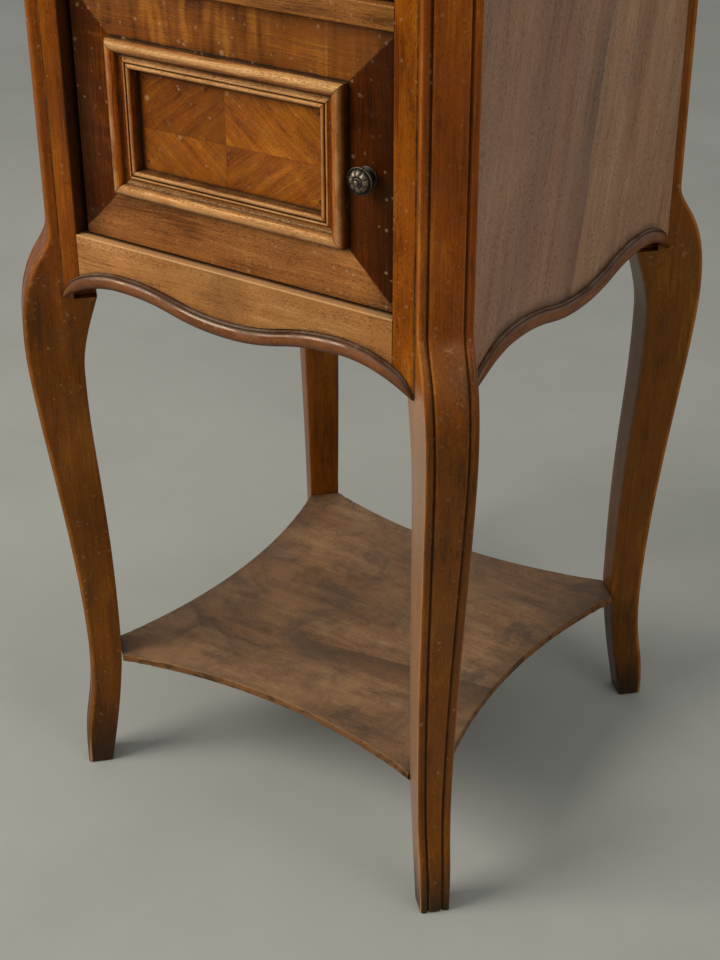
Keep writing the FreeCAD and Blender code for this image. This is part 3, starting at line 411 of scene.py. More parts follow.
def groove_marks(color, place):
    """Grooves darkened near black, partly wax and partly painted shade; light lines on the arrises, partly rubbed
    wear and partly painted highlight; a duller right back leg; a painted sheen on the inner face of the right front
    leg; scuffed knees; and feet scuffed dark with pale worn edges."""
    x, y, up = axes(place)
    right = ramp(x, 0.09, 0.11)
    color = tinted(right * ramp(y, 0.09, 0.11), color, (0.76, 0.86, 1.04))
    facing = vector_calc("DOT_PRODUCT", normal(place.tree), (-DIAGONAL, -DIAGONAL, 0), "Value")
    right_front = right * ramp(y, -0.09, -0.11)
    # Painted sheen: a pale tint on the inner face of the right front leg, below the knee.
    painted_sheen = ramp(facing, 0.8, 0.95) * right_front * ramp(up, 0.475, 0.460, 0.0, 0.35)
    color = tinted(ramp(up, 0.53, 0.42), color, (0.70, 0.90, 1.0))
    grip = noise(stretched(place, 90, 90, 9), 1.0, 4.0, 0.65)
    color = mix(ramp(grip, 0.50, 0.72, 0.0, 0.45), color, tone(58, 26, 4))
    # Grooves darkened near black: partly wax, partly painted shade.
    groove = attribute(place.tree, "groove") * ramp(grip, 0.3, 0.6, 0.88, 0.6)
    color = mix(groove, color, tone(34, 15, 3))
    # Light lines on the arrises and groove lips: partly rubbed wear, partly painted highlight.
    edge = attribute(place.tree, "edge")
    rub = ramp(noise(place, 38.0, 4.0, 0.65), 0.36, 0.66, 0.35, 1.0)
    color = mix(edge * rub * 0.6, color, tone(190, 116, 40))
    color = mix(painted_sheen, color, tone(186, 150, 116))
    knee = ramp(up, 0.55, 0.50) * ramp(up, 0.40, 0.46)
    fleck = ramp(noise(place, 150.0, 4.0, 0.7), 0.58, 0.72) * knee
    color = mix(fleck * 0.45, color, tone(170, 130, 96))
    height = up + (grip - 0.5) * 0.09
    dirt = ramp(height, 0.0, 0.065, 0.95, 0.0) * ramp(edge, 0.2, 0.9, 1.0, 0.25)
    color = mix(dirt, color, tone(34, 19, 9))
    scuff = ramp(height, 0.0, 0.03, 0.75, 0.0) * ramp(edge, 0.25, 0.8)
    color = mix(scuff, color, tone(186, 140, 98))
    scratch = noise(stretched(turned(place, (20, 35, 15)), 60, 900), 1.0, 1.0)
    knock = ramp(scratch, 0.70, 0.76) * ramp(noise(place, 20.0), 0.50, 0.62)
    return mix(knock * 0.5, color, tone(150, 112, 74))


def joint_marks(color, place):
    """A dark line where a board meets its post."""
    x, y, _ = axes(place)
    gap = abs(abs(x) - abs(y)) - POST_CLEAR * MM
    return mix(ramp(gap, 0.0007, 0.0016, 0.9, 0.0), color, GRIME_AND_SHADE)


def stile_marks(color, place):
    """Painted shade on the left stile, darker than the right one; painted shade on the inner edge by the door; and
    the line along each post.
    """
    x = axes(place)[0]
    # Painted shade: the left stile is multiplied darker than the right one.
    color = tinted(ramp(x, 0.01, -0.01), color, (0.66, 0.60, 0.40))
    # Painted shade on the stile's inner edge face beside the door.
    color = mix(ramp(abs(x), 0.1402, 0.1411, 0.65, 0.0), color, GRIME_AND_SHADE)
    return joint_marks(color, place)


def frame_marks(color, place):
    """Mitre lines, a painted shadow line round the moulding, and painted shade that darkens towards the door's ends.
    """
    lines = use(DOOR_LINES, Vector=place)
    # Painted shade that darkens the door's frame towards its left and right ends.
    ends = ramp(abs(axes(place)[0]) + noise(place, 30.0, 3.0) * 0.012, 0.112, 0.146, 0.0, 0.75)
    color = mix(ends, color, tone(24, 9, 1))
    color = mix(lines["Mitre"] * 0.75, color, GRIME_AND_SHADE)
    # Painted shadow line just outside the moulding.
    return mix(lines["Moulding_Shadow"] * 0.9, color, GRIME_AND_SHADE)


def moulding_marks(color, place):
    """Dark hollows, partly dirt and partly painted shade; painted shade on the faces turned down; light crests,
    partly rubbed wear and partly painted highlight; and fine dark mitres.
    """
    tree = place.tree
    rub = ramp(noise(place, 45.0, 4.0, 0.65), 0.30, 0.62, 0.35, 1.0)
    # Dark hollows: partly dirt, partly painted shade in the cove, quirk and creases.
    soil = attribute(tree, "recess") * ramp(rub, 0.35, 1.0, 0.95, 0.7)
    color = mix(soil, color, tone(40, 19, 6))
    # Painted shade: faces turned downwards are multiplied darker.
    color = tinted(ramp(axes(normal(tree))[2], 0.1, -0.55), color, (0.56, 0.44, 0.36))
    # Light crests: partly rubbed wear, partly painted highlight.
    color = mix(attribute(tree, "edge") * rub * 0.5, color, tone(212, 164, 106))
    return mix(attribute(tree, "seam") * 0.8, color, GRIME_AND_SHADE)


def bead_marks(color, place):
    """Grey dust on the bead's ledge, broken by rubbed patches, a black quirk, a brown rubbed nose, and painted shade
    on the faces turned down.
    """
    tree = place.tree
    lie = ramp(noise(place, 40.0, 4.0, 0.65), 0.34, 0.66)
    ledge = attribute(tree, "ledge")
    color = mix(ledge * 0.55, color, tone(48, 30, 18))
    color = mix(ledge * lie * 0.65, color, tone(130, 116, 98))
    nose = attribute(tree, "nose") * ramp(lie, 0.0, 1.0, 0.55, 0.15)
    color = mix(nose, color, tone(138, 80, 30))
    # Painted shade: faces turned downwards are multiplied darker.
    color = tinted(ramp(axes(normal(tree))[2], 0.2, -0.5), color, (0.66, 0.54, 0.46))
    return mix(attribute(tree, "quirk") * 0.6, color, GRIME_AND_SHADE)


def apron_marks(color, place):
    """Handling: soft grey-brown patches on the left half, a darker right half, a painted highlight along the top
    arris and painted shade in the gap under the door."""
    x, y, up = axes(place)
    soil = ramp(noise(stretched(place, 16, 9), 1.0, 4.0, 0.6), 0.44, 0.66)
    color = mix(soil * ramp(x, 0.06, -0.10, 0.3, 1.0) * 0.7, color, tone(92, 62, 38))
    color = tinted(ramp(x, -0.11, -0.04), color, (0.84, 0.80, 0.72))
    # Painted highlight: a pale line along the top arris.
    color = mix(ramp(abs(up - 0.5103), 0.0004, 0.0013, 0.5, 0.0), color, tone(204, 160, 108))
    # Painted shade on the top face where it runs back to the door.
    return mix(ramp(y, -0.1806, -0.1784, 0.0, 0.7), color, GRIME_AND_SHADE)


def side_marks(color, place):
    """Two tones that meet along a leaning line, pinker and darker before it and yellower and lighter after, with dark
    stripes beside it and a painted shadow over the bead."""
    _, y, up = axes(place)
    line = (up - 0.528) * 0.212 - 0.005
    away = y - line + (noise(place, 9.0, 4.0, 0.6) - 0.5) * 0.03
    after = mix(ramp(away, -0.001, 0.006), (1, 1, 1, 1), (1.12, 1.10, 0.96, 1))
    color = mix(1.0, color, after, "MULTIPLY")
    stripe = ramp(away, -0.036, -0.002) * ramp(away, -0.001, 0.003, 1.0, 0.0)
    second = ramp(abs(away + 0.085), 0.0, 0.03, 0.5, 0.0)
    third = ramp(abs(away - 0.062), 0.0, 0.024, 0.7, 0.0)
    fade = calc("MAXIMUM", calc("MAXIMUM", stripe, second), third)
    fade = fade * ramp(noise(place, 14.0, 3.0), 0.3, 0.65, 0.5, 1.0)
    color = tinted(fade, color, (0.72, 0.72, 0.76))
    run = abs(y)
    rise = ramp(run, 0.01, 0.95 * CREST * MM, DIP * MM, (DIP + RISE) * MM)
    fall = calc("POWER", ramp(run, CREST * MM, RUN_END * MM), 2.0)
    # Painted shadow: a dark band just over the bead, following its curve.
    over = up - rise + fall * 0.03 + noise(place, 60.0, 3.0) * 0.008
    color = mix(ramp(over, 0.014, 0.026, 0.6, 0.0), color, tone(44, 28, 18))
    return joint_marks(color, place)


def shelf_marks(color, place):
    """Three boards with a tone step at each joint, water stains, grimy corners and a brown edge."""
    x, y, _ = axes(place)
    stain = ramp(noise(place, 17.0, 6.0, 0.70, 0.6), 0.44, 0.68)
    color = mix(stain * 0.66, color, tone(52, 37, 25))
    mottle = ramp(noise(stretched(place, 60, 110), 1.0, 5.0, 0.65), 0.46, 0.70)
    color = mix(mottle * 0.36, color, tone(58, 40, 27))
    edge_side = abs(x) - y * y * 1.2 + stain * 0.02
    color = mix(ramp(edge_side, 0.105, 0.150, 0.0, 0.6), color, tone(44, 34, 27))
    pale = ramp(noise(place, 12.0, 5.0, 0.62, 0.3), 0.50, 0.70)
    color = mix(pale * 0.45, color, tone(158, 114, 70))
    lean = y - (x * 0.15 - 0.056)
    front = ramp(lean, -0.036, -0.0006) * ramp(lean, -0.0006, 0.0004, 1.0, 0.0) * ramp(x, -0.06, 0.02)
    color = mix(front * 0.6, color, tone(46, 31, 20))
    rear = y - 0.096 + x * 0.13
    color = mix(ramp(rear, -0.0005, 0.0005, 0.0, 0.2), color, tone(84, 62, 44))
    color = mix(ramp(abs(rear), 0.0002, 0.0012, 0.25, 0.0), color, tone(40, 26, 16))
    far = abs(x) + abs(y) + stain * 0.05
    color = mix(ramp(far, 0.27, 0.35, 0.0, 0.72), color, tone(40, 31, 24))
    rim = ramp(abs(axes(normal(place.tree))[2]), 0.85, 0.45)
    rim_tone = mix(ramp(mottle, 0.0, 0.7), tone(116, 70, 34), tone(40, 24, 12))
    return mix(rim * 0.7, color, rim_tone)


LEG_WALNUT = walnut("leg_walnut", ALONG_Z, 0.31, ((86, 35, 0), (130, 59, 2), (160, 82, 8)),
                    streak=0.7, blotch=0.9, pores=0.8, extra=groove_marks, edge=0.35, grime=0.4, rough=0.18,
                    shine=0.45)
STILE_WALNUT = walnut("stile_walnut", ALONG_Z, 1.77, ((91, 41, 0), (138, 70, 2), (168, 96, 14)),
                      streak=0.8, blotch=0.9, pores=0.8, extra=stile_marks, shine=0.18)
RAIL_WALNUT = walnut("rail_walnut", ALONG_X, 2.43, ((118, 72, 30), (178, 122, 68), (212, 160, 104)),
                     streak=0.65, blotch=0.7, pores=0.95, extra=apron_marks, edge=0.9, grime=0.8, specks=0.15)
DIVIDER_WALNUT = walnut("divider_walnut", ALONG_X, 2.91, ((88, 46, 10), (140, 86, 34), (176, 120, 60)),
                        blotch=0.7, pores=0.9, grime=0.8)
BEAD_TONES = ((56, 24, 6), (92, 46, 14), (128, 72, 30))
BEAD_LOOK = {"streak": 0.8, "pores": 0.5, "extra": bead_marks, "edge": 0.0, "relief": 0.12}
BEAD_WALNUT = walnut("bead_walnut", ALONG_X, 3.19, BEAD_TONES, **BEAD_LOOK, rough=0.09, patchy=0.4, shine=0.6,
                     amber=(1.0, 0.80, 0.58, 1))
SIDE_BEAD_WALNUT = walnut("side_bead_walnut", ALONG_Y, 3.61, BEAD_TONES, **BEAD_LOOK, rough=0.15, shine=0.4,
                          amber=(1.0, 0.76, 0.52, 1))
# Pale, greyish tones: partly dust, partly a painted grey sheen.
SIDE_WALNUT = walnut("side_walnut", (12, 90, 0), 4.53, ((118, 86, 68), (144, 108, 86), (164, 128, 100)),
                     streak=0.75, rings=0.05, dust=0.1, extra=side_marks, specks=0.4)
SHELF_WALNUT = walnut("shelf_walnut", ALONG_X, 5.87, ((88, 60, 36), (126, 90, 57), (152, 114, 74)),
                      streak=0.7, rings=0.05, blotch=0.8, dust=0.12, rough=0.36, ledge=0.05, specks=0.2,
                      extra=shelf_marks)
DOOR_TOP_WALNUT = walnut("door_top_walnut", ALONG_X, 6.29, ((74, 33, 0), (116, 60, 9), (152, 91, 25)),
                         streak=0.6, figure=0.9, pores=0.8, extra=frame_marks, specks=0.8)
DOOR_BOTTOM_WALNUT = walnut("door_bottom_walnut", ALONG_X, 6.83, ((92, 48, 14), (142, 86, 38), (176, 116, 62)),
                            streak=0.8, figure=0.1, blotch=0.8, pores=1.1, extra=frame_marks, specks=0.75)
DOOR_STILE_WALNUT = walnut("door_stile_walnut", ALONG_Z, 7.13, ((42, 13, 0), (76, 30, 0), (110, 53, 4)),
                           streak=0.9, figure=0.3, pores=0.7, extra=frame_marks, specks=0.75, shine=0.12)
MOULDING_LOOK = {"streak": 1.2, "pores": 1.4, "extra": moulding_marks}
MOULDING_WALNUT = walnut("moulding_walnut", ALONG_X, 8.41, ((108, 57, 16), (174, 113, 54), (218, 166, 102)),
                         **MOULDING_LOOK)
MOULDING_UPRIGHT_WALNUT = walnut("moulding_upright_walnut", ALONG_Z, 8.83,
                                 ((92, 36, 0), (150, 71, 3), (194, 110, 18)), **MOULDING_LOOK, shine=0.2)
DRAWER_FIELD_WALNUT = walnut("drawer_field_walnut", ALONG_X, 9.37, ((86, 42, 4), (132, 74, 16), (164, 102, 36)),
                             figure=0.6, pores=0.6)
DRAWER_BAND_WALNUT = walnut("drawer_band_walnut", ALONG_X, 9.91, ((60, 24, 0), (98, 46, 6), (130, 72, 18)),
                            figure=0.3, pores=0.6)
INNER_TONES = ((128, 92, 56), (166, 128, 84), (192, 156, 112))
INNER_LOOK = {"streak": 0.9, "blotch": 0.6, "pores": 0.4, "dust": 0.2, "rough": 0.5, "shine": 0.2,
              "amber": (1, 1, 1, 1)}
INNER_WOOD = walnut("inner_wood", ALONG_X, 11.3, INNER_TONES, **INNER_LOOK)
INNER_WOOD_DEEP = walnut("inner_wood_deep", ALONG_Y, 12.1, INNER_TONES, **INNER_LOOK)
BACK_WOOD = walnut("back_wood", ALONG_Z, 13.7, ((92, 64, 40), (128, 94, 60), (156, 120, 82)),
                   streak=0.7, rings=0.12, blotch=0.7, pores=0.6, dust=0.3, rough=0.52, shine=0.2, specks=0.3,
                   amber=(1, 1, 1, 1))


def veneer_walnut():
    """Four quartered leaves: the grain mirrors about the point where they meet and changes tone leaf by leaf. Painted
    shadow lies along the moulding, deepest under its top and left sides, and a pin shows near each corner."""
    material, shader, place = start_material("veneer_walnut")
    x, _, up = axes(place)
    up = up - DOOR_CENTRE * MM
    meet_across, meet_up = x + 0.004, up + 0.0055
    fold_across, fold_up = abs(meet_across), abs(meet_up)
    east = ramp(meet_across, -0.0002, 0.0002)
    north = ramp(meet_up, -0.0002, 0.0002)
    folded = output("CombineXYZ", {0: fold_across, 1: east * 0.37 + north * 0.83, 2: fold_up})
    close = stretched(turned(folded, (0, -38, 0)), 2.3, 2.3)
    wood = use(GRAIN, Vector=close, Seed=14.9, Dark=tone(76, 31, 0), Mid=tone(122, 64, 6), Light=tone(154, 91, 18),
               Streak=0.92, Rings=0.0, Figure=0.15, Blotch=0.6, Pores=1.6)
    upper = mix(east, (1.02, 0.92, 0.4, 1), (1.62, 1.66, 1.6, 1))
    lower = mix(east, (1.36, 1.34, 1.2, 1), (1.32, 1.22, 1.0, 1))
    color = mix(1.0, wood["Color"], mix(north, lower, upper), "MULTIPLY")
    color = mix(ramp(calc("MINIMUM", fold_across, fold_up), 0.0001, 0.0005, 0.3, 0.0), color, GRIME_AND_SHADE)
    # Painted shadow along the inside of the moulding.
    sight_across, sight_up = ((half - MOULDING_WIDTH) * MM for half in MOULDING_HALF)
    beyond = calc("MAXIMUM", abs(x) - sight_across, abs(up) - sight_up)
    color = mix(ramp(beyond, -0.0022, 0.0, 0.0, 0.8), color, GRIME_AND_SHADE)
    # Painted shadow, wider under the top and left sides of the moulding.
    over = calc("MAXIMUM", up - sight_up, x * -1.0 - sight_across)
    color = mix(ramp(over, -0.0055, -0.001, 0.0, 0.8), color, GRIME_AND_SHADE)
    corner = output("CombineXYZ", {0: abs(x) - 0.0745, 1: abs(up) - 0.0305, 2: 0.0})
    away = output("VectorMath", {0: corner}, "Value", operation="LENGTH")
    color = mix(ramp(away, 0.0008, 0.0014, 0.85, 0.0), color, tone(30, 15, 6))
    finish_wood(shader, color, wood, use(AGE, Vector=place), {**LOOK, "edge": 0.0, "grime": 0.5, "specks": 0.65})
    return material


# Stone and metals

def stone():
    """Pale polished marble: soft grey clouds and thin bent veins."""
    material, shader, place = start_material("stone")
    cloud = noise(place, 9.0, 6.0, 0.62, 1.2)
    bend = vector_calc("ADD", place, stretched(noise(place, 7.0, 5.0, 0.5, key="Color"), 0.10, 0.10))
    bend = stretched(turned(bend, (0, 0, 38)), 0.45, 1.0)
    line = abs(noise(bend, 9.0, 3.0, 0.5) - 0.5)
    color = mix(ramp(cloud, 0.3, 0.7), tone(202, 199, 194), tone(222, 220, 215))
    halo = ramp(line, 0.0, 0.10, 0.35, 0.0) * ramp(cloud, 0.36, 0.60, 1.0, 0.3)
    color = mix(halo, color, tone(160, 159, 159))
    vein = ramp(line, 0.0, 0.022, 1.0, 0.0) * ramp(cloud, 0.36, 0.60, 1.0, 0.15)
    color = mix(vein * 0.6, color, tone(118, 117, 119))
    thread = ramp(abs(noise(bend, 24.0, 3.0, 0.55) - 0.5), 0.0, 0.016, 1.0, 0.0)
    color = mix(thread * ramp(cloud, 0.42, 0.62, 1.0, 0.2) * 0.3, color, tone(150, 146, 142))
    bump = output("Bump", {"Strength": 0.08, "Distance": 0.0003, "Height": noise(place, 240.0, 3.0)})
    fill(shader, {"Base Color": color, "Roughness": cloud * 0.2 + 0.12, "Normal": bump, "Specular IOR Level": 0.5})
    return material


def metal(name, tones, rough, cast=False):
    """Aged metal in dark, mid and bright tones: patina clouds, rubbed edges and dirt in the hollows of cast work."""
    material, shader, place = start_material(name)
    dark, mid, bright = (tone(*chip) for chip in tones)
    marks = use(AGE, Vector=place)
    cloud = noise(place, 220.0, 5.0, 0.65)
    color = mix(ramp(cloud, 0.35, 0.7), dark, mid)
    edge = marks["Edge"]
    if cast:
        edge = attribute(place.tree, "high") * ramp(cloud, 0.3, 0.65, 0.35, 1.0)
        color = mix(attribute(place.tree, "recess") * 0.85, color, tone(18, 14, 10))
    color = mix(edge * 0.75, color, bright)
    # Grime and painted shade in hollows, from the occlusion mask.
    color = mix(marks["Grime_And_Shade"] * 0.4, color, tone(20, 15, 10))
    bump = output("Bump", {"Strength": 0.2, "Distance": 0.0002, "Height": cloud})
    fill(shader, {"Base Color": color, "Roughness": cloud * 0.3 + rough, "Normal": bump,
                  "Metallic": ramp(cloud, 0.2, 0.8, 0.75, 1.0)})
    return material


VENEER_WALNUT = veneer_walnut()
STONE = stone()
BRONZE = metal("bronze", ((26, 21, 15), (50, 41, 31), (160, 142, 116)), 0.30, cast=True)
BRASS = metal("brass", ((120, 92, 48), (156, 124, 68), (196, 168, 108)), 0.28)
STEEL = metal("steel", ((104, 102, 98), (132, 130, 126), (176, 174, 170)), 0.30)

FINISHES = {
    RAIL_WALNUT: ["front_apron"],
    DIVIDER_WALNUT: ["divider_rail", "top_rail"],
    SHELF_WALNUT: ["lower_shelf"],
    DOOR_TOP_WALNUT: ["door_frame_top"],
    DOOR_BOTTOM_WALNUT: ["door_frame_bottom"],
    DOOR_STILE_WALNUT: ["door_frame_left", "door_frame_right"],
    VENEER_WALNUT: ["door_veneer"],
    DRAWER_FIELD_WALNUT: ["drawer_field"],
    DRAWER_BAND_WALNUT: ["drawer_bands"],
    INNER_WOOD: ["cupboard_floor", "dust_board", "back_top_rail", "door_stop", "drawer_stops", "door_panel_core",
                 "panel_slips", "drawer_front", "drawer_back", "drawer_bottom", "shelf_dowels"],
    INNER_WOOD_DEEP: ["drawer_guides", "drawer_kickers", "glue_blocks", "drawer_side_left", "drawer_side_right"],
    BACK_WOOD: ["back_panel"],
    STONE: ["marble_top"],
    BRASS: ["pivot_plate_frame_lower", "pivot_plate_frame_upper", "pivot_plate_door_lower", "pivot_plate_door_upper",
            "pivot_washer", "strike_plate", "catch_barrel"],
    STEEL: ["frame_pivot_screws", "door_pivot_screws", "strike_screws", "catch_ball", "door_knob_screw",
            "drawer_knob_screw"],
}
for finish, names in FINISHES.items():
    for name in names:
        nodes[name].data.materials.clear()
        nodes[name].data.materials.append(finish)


# Legs

def by_height(heights, ends, handles, leans={}):
    """Reach by height along cubic curves between ends given as reach and height. A curve's two handles are shares of
    its drop, and their leans are shares of its side step."""
    share = np.linspace(0, 1, 120)[:, None]
    lines = []
    for place, handle in enumerate(handles):
        start, end = np.array(ends[place]), np.array(ends[place + 1])
        side, drop = end - start
        lean = leans.get(place, (0, 0))
        first = start + (lean[0] * side, handle[0] * drop)
        second = end - (lean[1] * side, handle[1] * drop)
        lines.append((1 - share) ** 3 * start + 3 * (1 - share) ** 2 * share * first
                     + 3 * (1 - share) * share ** 2 * second + share ** 3 * end)
    values, levels = np.concatenate(lines)[::-1].T
    return np.interp(heights, levels, values)


def mirrored(half_ring, sign=1):
    """Half a ring from its middle, and its mirror image back to the start."""
    return np.concatenate([half_ring, sign * half_ring[..., :0:-1]], -1)


def leg_points(heights, in_post):
    """Rings of a leg at each height. Across the front each ring is a half-round bead, a groove and a panel with a
    slight crown, then the same mirrored; in the post the back is a narrow core behind the lip."""
    outer = by_height(heights, [(POST, CASE_TOP), (POST, BROW), KNEE, ANKLE, TOE],
                      [(0.3, 0.3), (0.22, 0.75), (0.19, 0.38), (0.5, 0.5)])
    inner = by_height(heights, [(POST_BACK, CASE_TOP), (POST_BACK, SHOULDER), KNEE_BACK, ANKLE_BACK, TOE_BACK],
                      [(0.3, 0.3), (0.33, 0.35), (0.34, 0.53), (0.33, 0.33)], {1: (0.47, 0), 3: (0, 0.52)})
    half = by_height(heights, [(POST_HALF, CASE_TOP), (POST_HALF, BROW), (TOE_HALF, 0.0)],
                     [(0.3, 0.3), (0.15, 0.33)], {1: (0, 0.33)})
    ease = np.interp(heights, [0.0, 0.8], [0.8, 0.0])
    outer, inner, half = outer - ease, inner + ease, half - ease

    step = np.array([0.0, 0.3, 0.55, 0.72, 0.84, 0.92, 0.97, 1.0])
    panel = (half[:, None] - GROOVE_EDGE) * step
    panel_depth = 0.3 * step ** 2 + 0.8 * step ** 12
    turn = np.linspace(0.12, math.pi, 11)
    edge_in = np.concatenate([[7.45, 7.3, 7.0, 6.6, 6.2, 5.85], BEAD_RADIUS + BEAD_RADIUS * np.cos(turn)])
    edge_depth = np.concatenate([[1.5, 1.9, 2.4, 2.7, 2.5, 2.1], BEAD_RISE * (1 - np.sin(turn))])
    front_across = np.concatenate([panel, half[:, None] - edge_in], 1)
    front_reach = outer[:, None] - np.concatenate([panel_depth, edge_depth])

    depth = outer - inner
    soft = np.interp(heights, [92, 104, 120, 132], [1.0, 0.15, 0.15, 1.0])
    side_across = np.stack([half, half, half, half, half - 0.5 * soft, half - 1.6 * soft, 0.5 * half], 1)
    side_reach = np.stack([outer - 4, outer - 0.45 * depth, outer - 0.75 * depth, inner + 1.6 * soft,
                           inner + 0.5 * soft, inner, inner], 1)
    core = np.array([POST_HALF, POST_HALF, CORE_HALF, CORE_HALF, CORE_HALF - 0.15, CORE_HALF - 0.4, CORE_HALF / 2])
    core_reach = np.array([POST - 4, LIP, LIP, POST_BACK + 0.4, POST_BACK + 0.15, POST_BACK, POST_BACK])
    side_across = np.where(in_post[:, None], core, side_across)
    side_reach = np.where(in_post[:, None], core_reach, side_reach)
    side_across[:, :2], side_reach[:, 0] = half[:, None], outer - 4

    across = mirrored(np.concatenate([front_across, side_across], 1), -1)
    reach = mirrored(np.concatenate([front_reach, side_reach], 1))
    # groove: grooves darkened, partly wax and partly painted shade; edge: light lines, partly wear and partly painted
    # highlight.
    groove = [*[0] * 8, 0.2, 0.7, 1, 1, 1, 0.7, 0.3, 0.1, 0.15, 0.22, 0.25, 0.25, 0.2, 0.1, *[0] * 10]
    edge = [*[0] * 5, 0.15, 0.5, 0.9, 0.6, *[0] * 5, 0.5, 0.35, 0.1, *[0] * 4, 0.1, 0.5, 0.9, 0.8, *[0] * 7]
    return across, reach, heights[:, None], {"groove": mirrored(np.array(groove)), "edge": mirrored(np.array(edge))}


SHIN = np.concatenate([[0.0, 0.8], np.linspace(3, SHOULDER - 3, 130), [SHOULDER]])
UPPER = np.concatenate([[SHOULDER], np.linspace(SHOULDER + 3, BROW + 10, 24), [560, 640, 740, CASE_TOP]])
*LEG_POINTS, LEG_MASKS = leg_points(np.concatenate([SHIN, UPPER]), np.arange(len(SHIN) + len(UPPER)) >= len(SHIN))
for corner, bearing in (("front_right", -45), ("back_right", 45), ("back_left", 135), ("front_left", -135)):
    make_piece("leg_" + corner + "_carved", "case", ["leg_" + corner], around(*LEG_POINTS, bearing),
               LEG_WALNUT, LEG_MASKS)


# Serpentine beads

def serpentine(place, offset, tip):
    """Height of the serpentine raised by an offset: an arc through the dip, a tangent arc over each crest, and an
    arc that falls from the crest to the tip."""
    radius = (CREST ** 2 + RISE ** 2) / (4 * RISE)
    away = np.abs(place)
    top = DIP + RISE
    dip = DIP + radius - np.sqrt((radius - offset) ** 2 - away ** 2)
    crest = top - radius + np.sqrt((radius + offset) ** 2 - (CREST - away) ** 2)
    run, drop = RUN_END - CREST, top + offset - tip
    end_radius = (run ** 2 + drop ** 2) / (2 * drop)
    fall = top + offset - end_radius + np.sqrt(np.maximum(end_radius ** 2 - (away - CREST) ** 2, 0))
    return np.where(away <= CREST * (radius - offset) / (2 * radius), dip, np.where(away <= CREST, crest, fall))


def bead_curve(place):
    """The height of the bead's foot and its thickness at each place, thinning to blunt tips."""
    low = serpentine(place, 0.0, TIP_BASE)
    high = serpentine(place, BEAD_HEIGHT, TIP_BASE + TIP_HEIGHT)
    thin = (BEAD_HEIGHT - high + low) / (BEAD_HEIGHT - TIP_HEIGHT)
    return low, BEAD_HEIGHT - (BEAD_HEIGHT - TIP_HEIGHT) * np.clip(thin, 0, 1) ** 3


def bead_points():
    """The bead's sections along its run, as shares of its stand-out and its height: a flat ledge, a small quirk, a
    round nose and a flat foot, thinning to tips. Points further in stop short of the post's slanting side."""
    place = RUN_END * np.sin(np.linspace(-0.5, 0.5, 181) * math.pi)
    _, tall = bead_curve(place)
    proud = TIP_PROUD + (BEAD_PROUD - TIP_PROUD) * (tall - TIP_HEIGHT) / (BEAD_HEIGHT - TIP_HEIGHT)
    proud = proud - 0.25 + 0.2 * wave(place, 5, [61.0, 37.0, 23.0])
    turn = np.radians(np.linspace(75, -90, 17))
    out_share = np.concatenate([[-1, 0, 0.2, 0.44, 0.52, 0.54, 0.47, 0.48], 0.45 + 0.55 * np.cos(turn), [0.1, -1]])
    level_share = np.concatenate([[1, 1, 1, 0.99, 0.965, 0.93, 0.88, 0.85], 0.42 + 0.42 * np.sin(turn), [0, 0]])
    out = REACH + np.where(out_share < 0, -BEAD_DEPTH, out_share * proud[:, None])
    across = np.sign(place)[:, None] * np.minimum(np.abs(place)[:, None], out - POST_CLEAR)
    low, tall = bead_curve(across)
    ledge = np.array([0, 1, 1, 1, 0.9, 0.3, 0, 0, 0.6, 0.45, 0.3, 0.1, *[0] * 15]) + 0 * out
    ledge[[0, -1]] = 0
    quirk = np.array([0, 0.8, 0.1, 0, 0, 0.4, 1, 0.9, 0.2, *[0] * 18])
    nose = np.interp(np.arange(27), [10, 14, 19, 24], [0, 1, 1, 0])
    return across, out, low + level_share * tall, {"ledge": ledge, "quirk": quirk, "nose": nose}


*BEAD_POINTS, BEAD_MASKS = bead_points()
for name, bearing, finish, slot in (
        ("front_bead", -90, BEAD_WALNUT, "front_bead_walnut"),
        ("side_bead_right", 0, SIDE_BEAD_WALNUT, "side_bead_walnut"),
        ("side_bead_left", 180, SIDE_BEAD_WALNUT, "side_bead_walnut")):
    make_piece(name + "_shaped", "case", [name], around(*BEAD_POINTS, bearing), finish, BEAD_MASKS, folds=1)


# Front stiles and side panels

def board_points(start, thickness, arris):
    """An upright board as rectangles at places across it, from its start to its post. Its foot follows the bead's
    lower curve, it stops at each depth where its post begins, and its arris is eased at a start that shows."""
    inner = REACH - thickness
    lip = ((LIP - 0.1) / DIAGONAL - POST_CLEAR) / 2
    key = ((LIP - 0.1) / DIAGONAL - CORE_CLEAR) / 2
    depths = np.array([inner, key + CORE_CLEAR, lip + POST_CLEAR, REACH])
    limits = np.array([inner - CORE_CLEAR, key, lip, RUN_END])
    place = np.concatenate([start + np.array([0.0, 0.3, 0.9]), np.linspace(start + 1.6, RUN_END + 1, 90)])[:, None]
    ease = arris * np.array([0.9, 0.3, *[0] * 91])[:, None]
    depth = depths - ease * np.array([0, 0, 0, 1.0])
    across = np.sign(place) * np.minimum(np.abs(place), limits)
    low = serpentine(across, 0.6, TIP_BASE + 0.4)
    across = np.concatenate([across, across[:, ::-1]], 1)
    depth = np.concatenate([depth, depth[:, ::-1]], 1)
    return across, depth, np.concatenate([low, 0 * low + CASE_TOP], 1)


STILE = board_points(STILE_START, STILE_THICK, 1.0)
PANEL = board_points(-RUN_END, PANEL_THICK, 0.0)
for name, bearing, side, board, finish, slot in (
        ("front_stile_right", -90, 1, STILE, STILE_WALNUT, "stile_walnut"),
        ("front_stile_left", -90, -1, STILE, STILE_WALNUT, "stile_walnut"),
        ("side_panel_right", 0, 1, PANEL, SIDE_WALNUT, "side_walnut"),
        ("side_panel_left", 180, 1, PANEL, SIDE_WALNUT, "side_walnut")):
    across, depth, level = board
    make_piece(name + "_shaped", "case", [name], around(across * side, depth, level, bearing), finish, {},
               folds=2)


# Door moulding

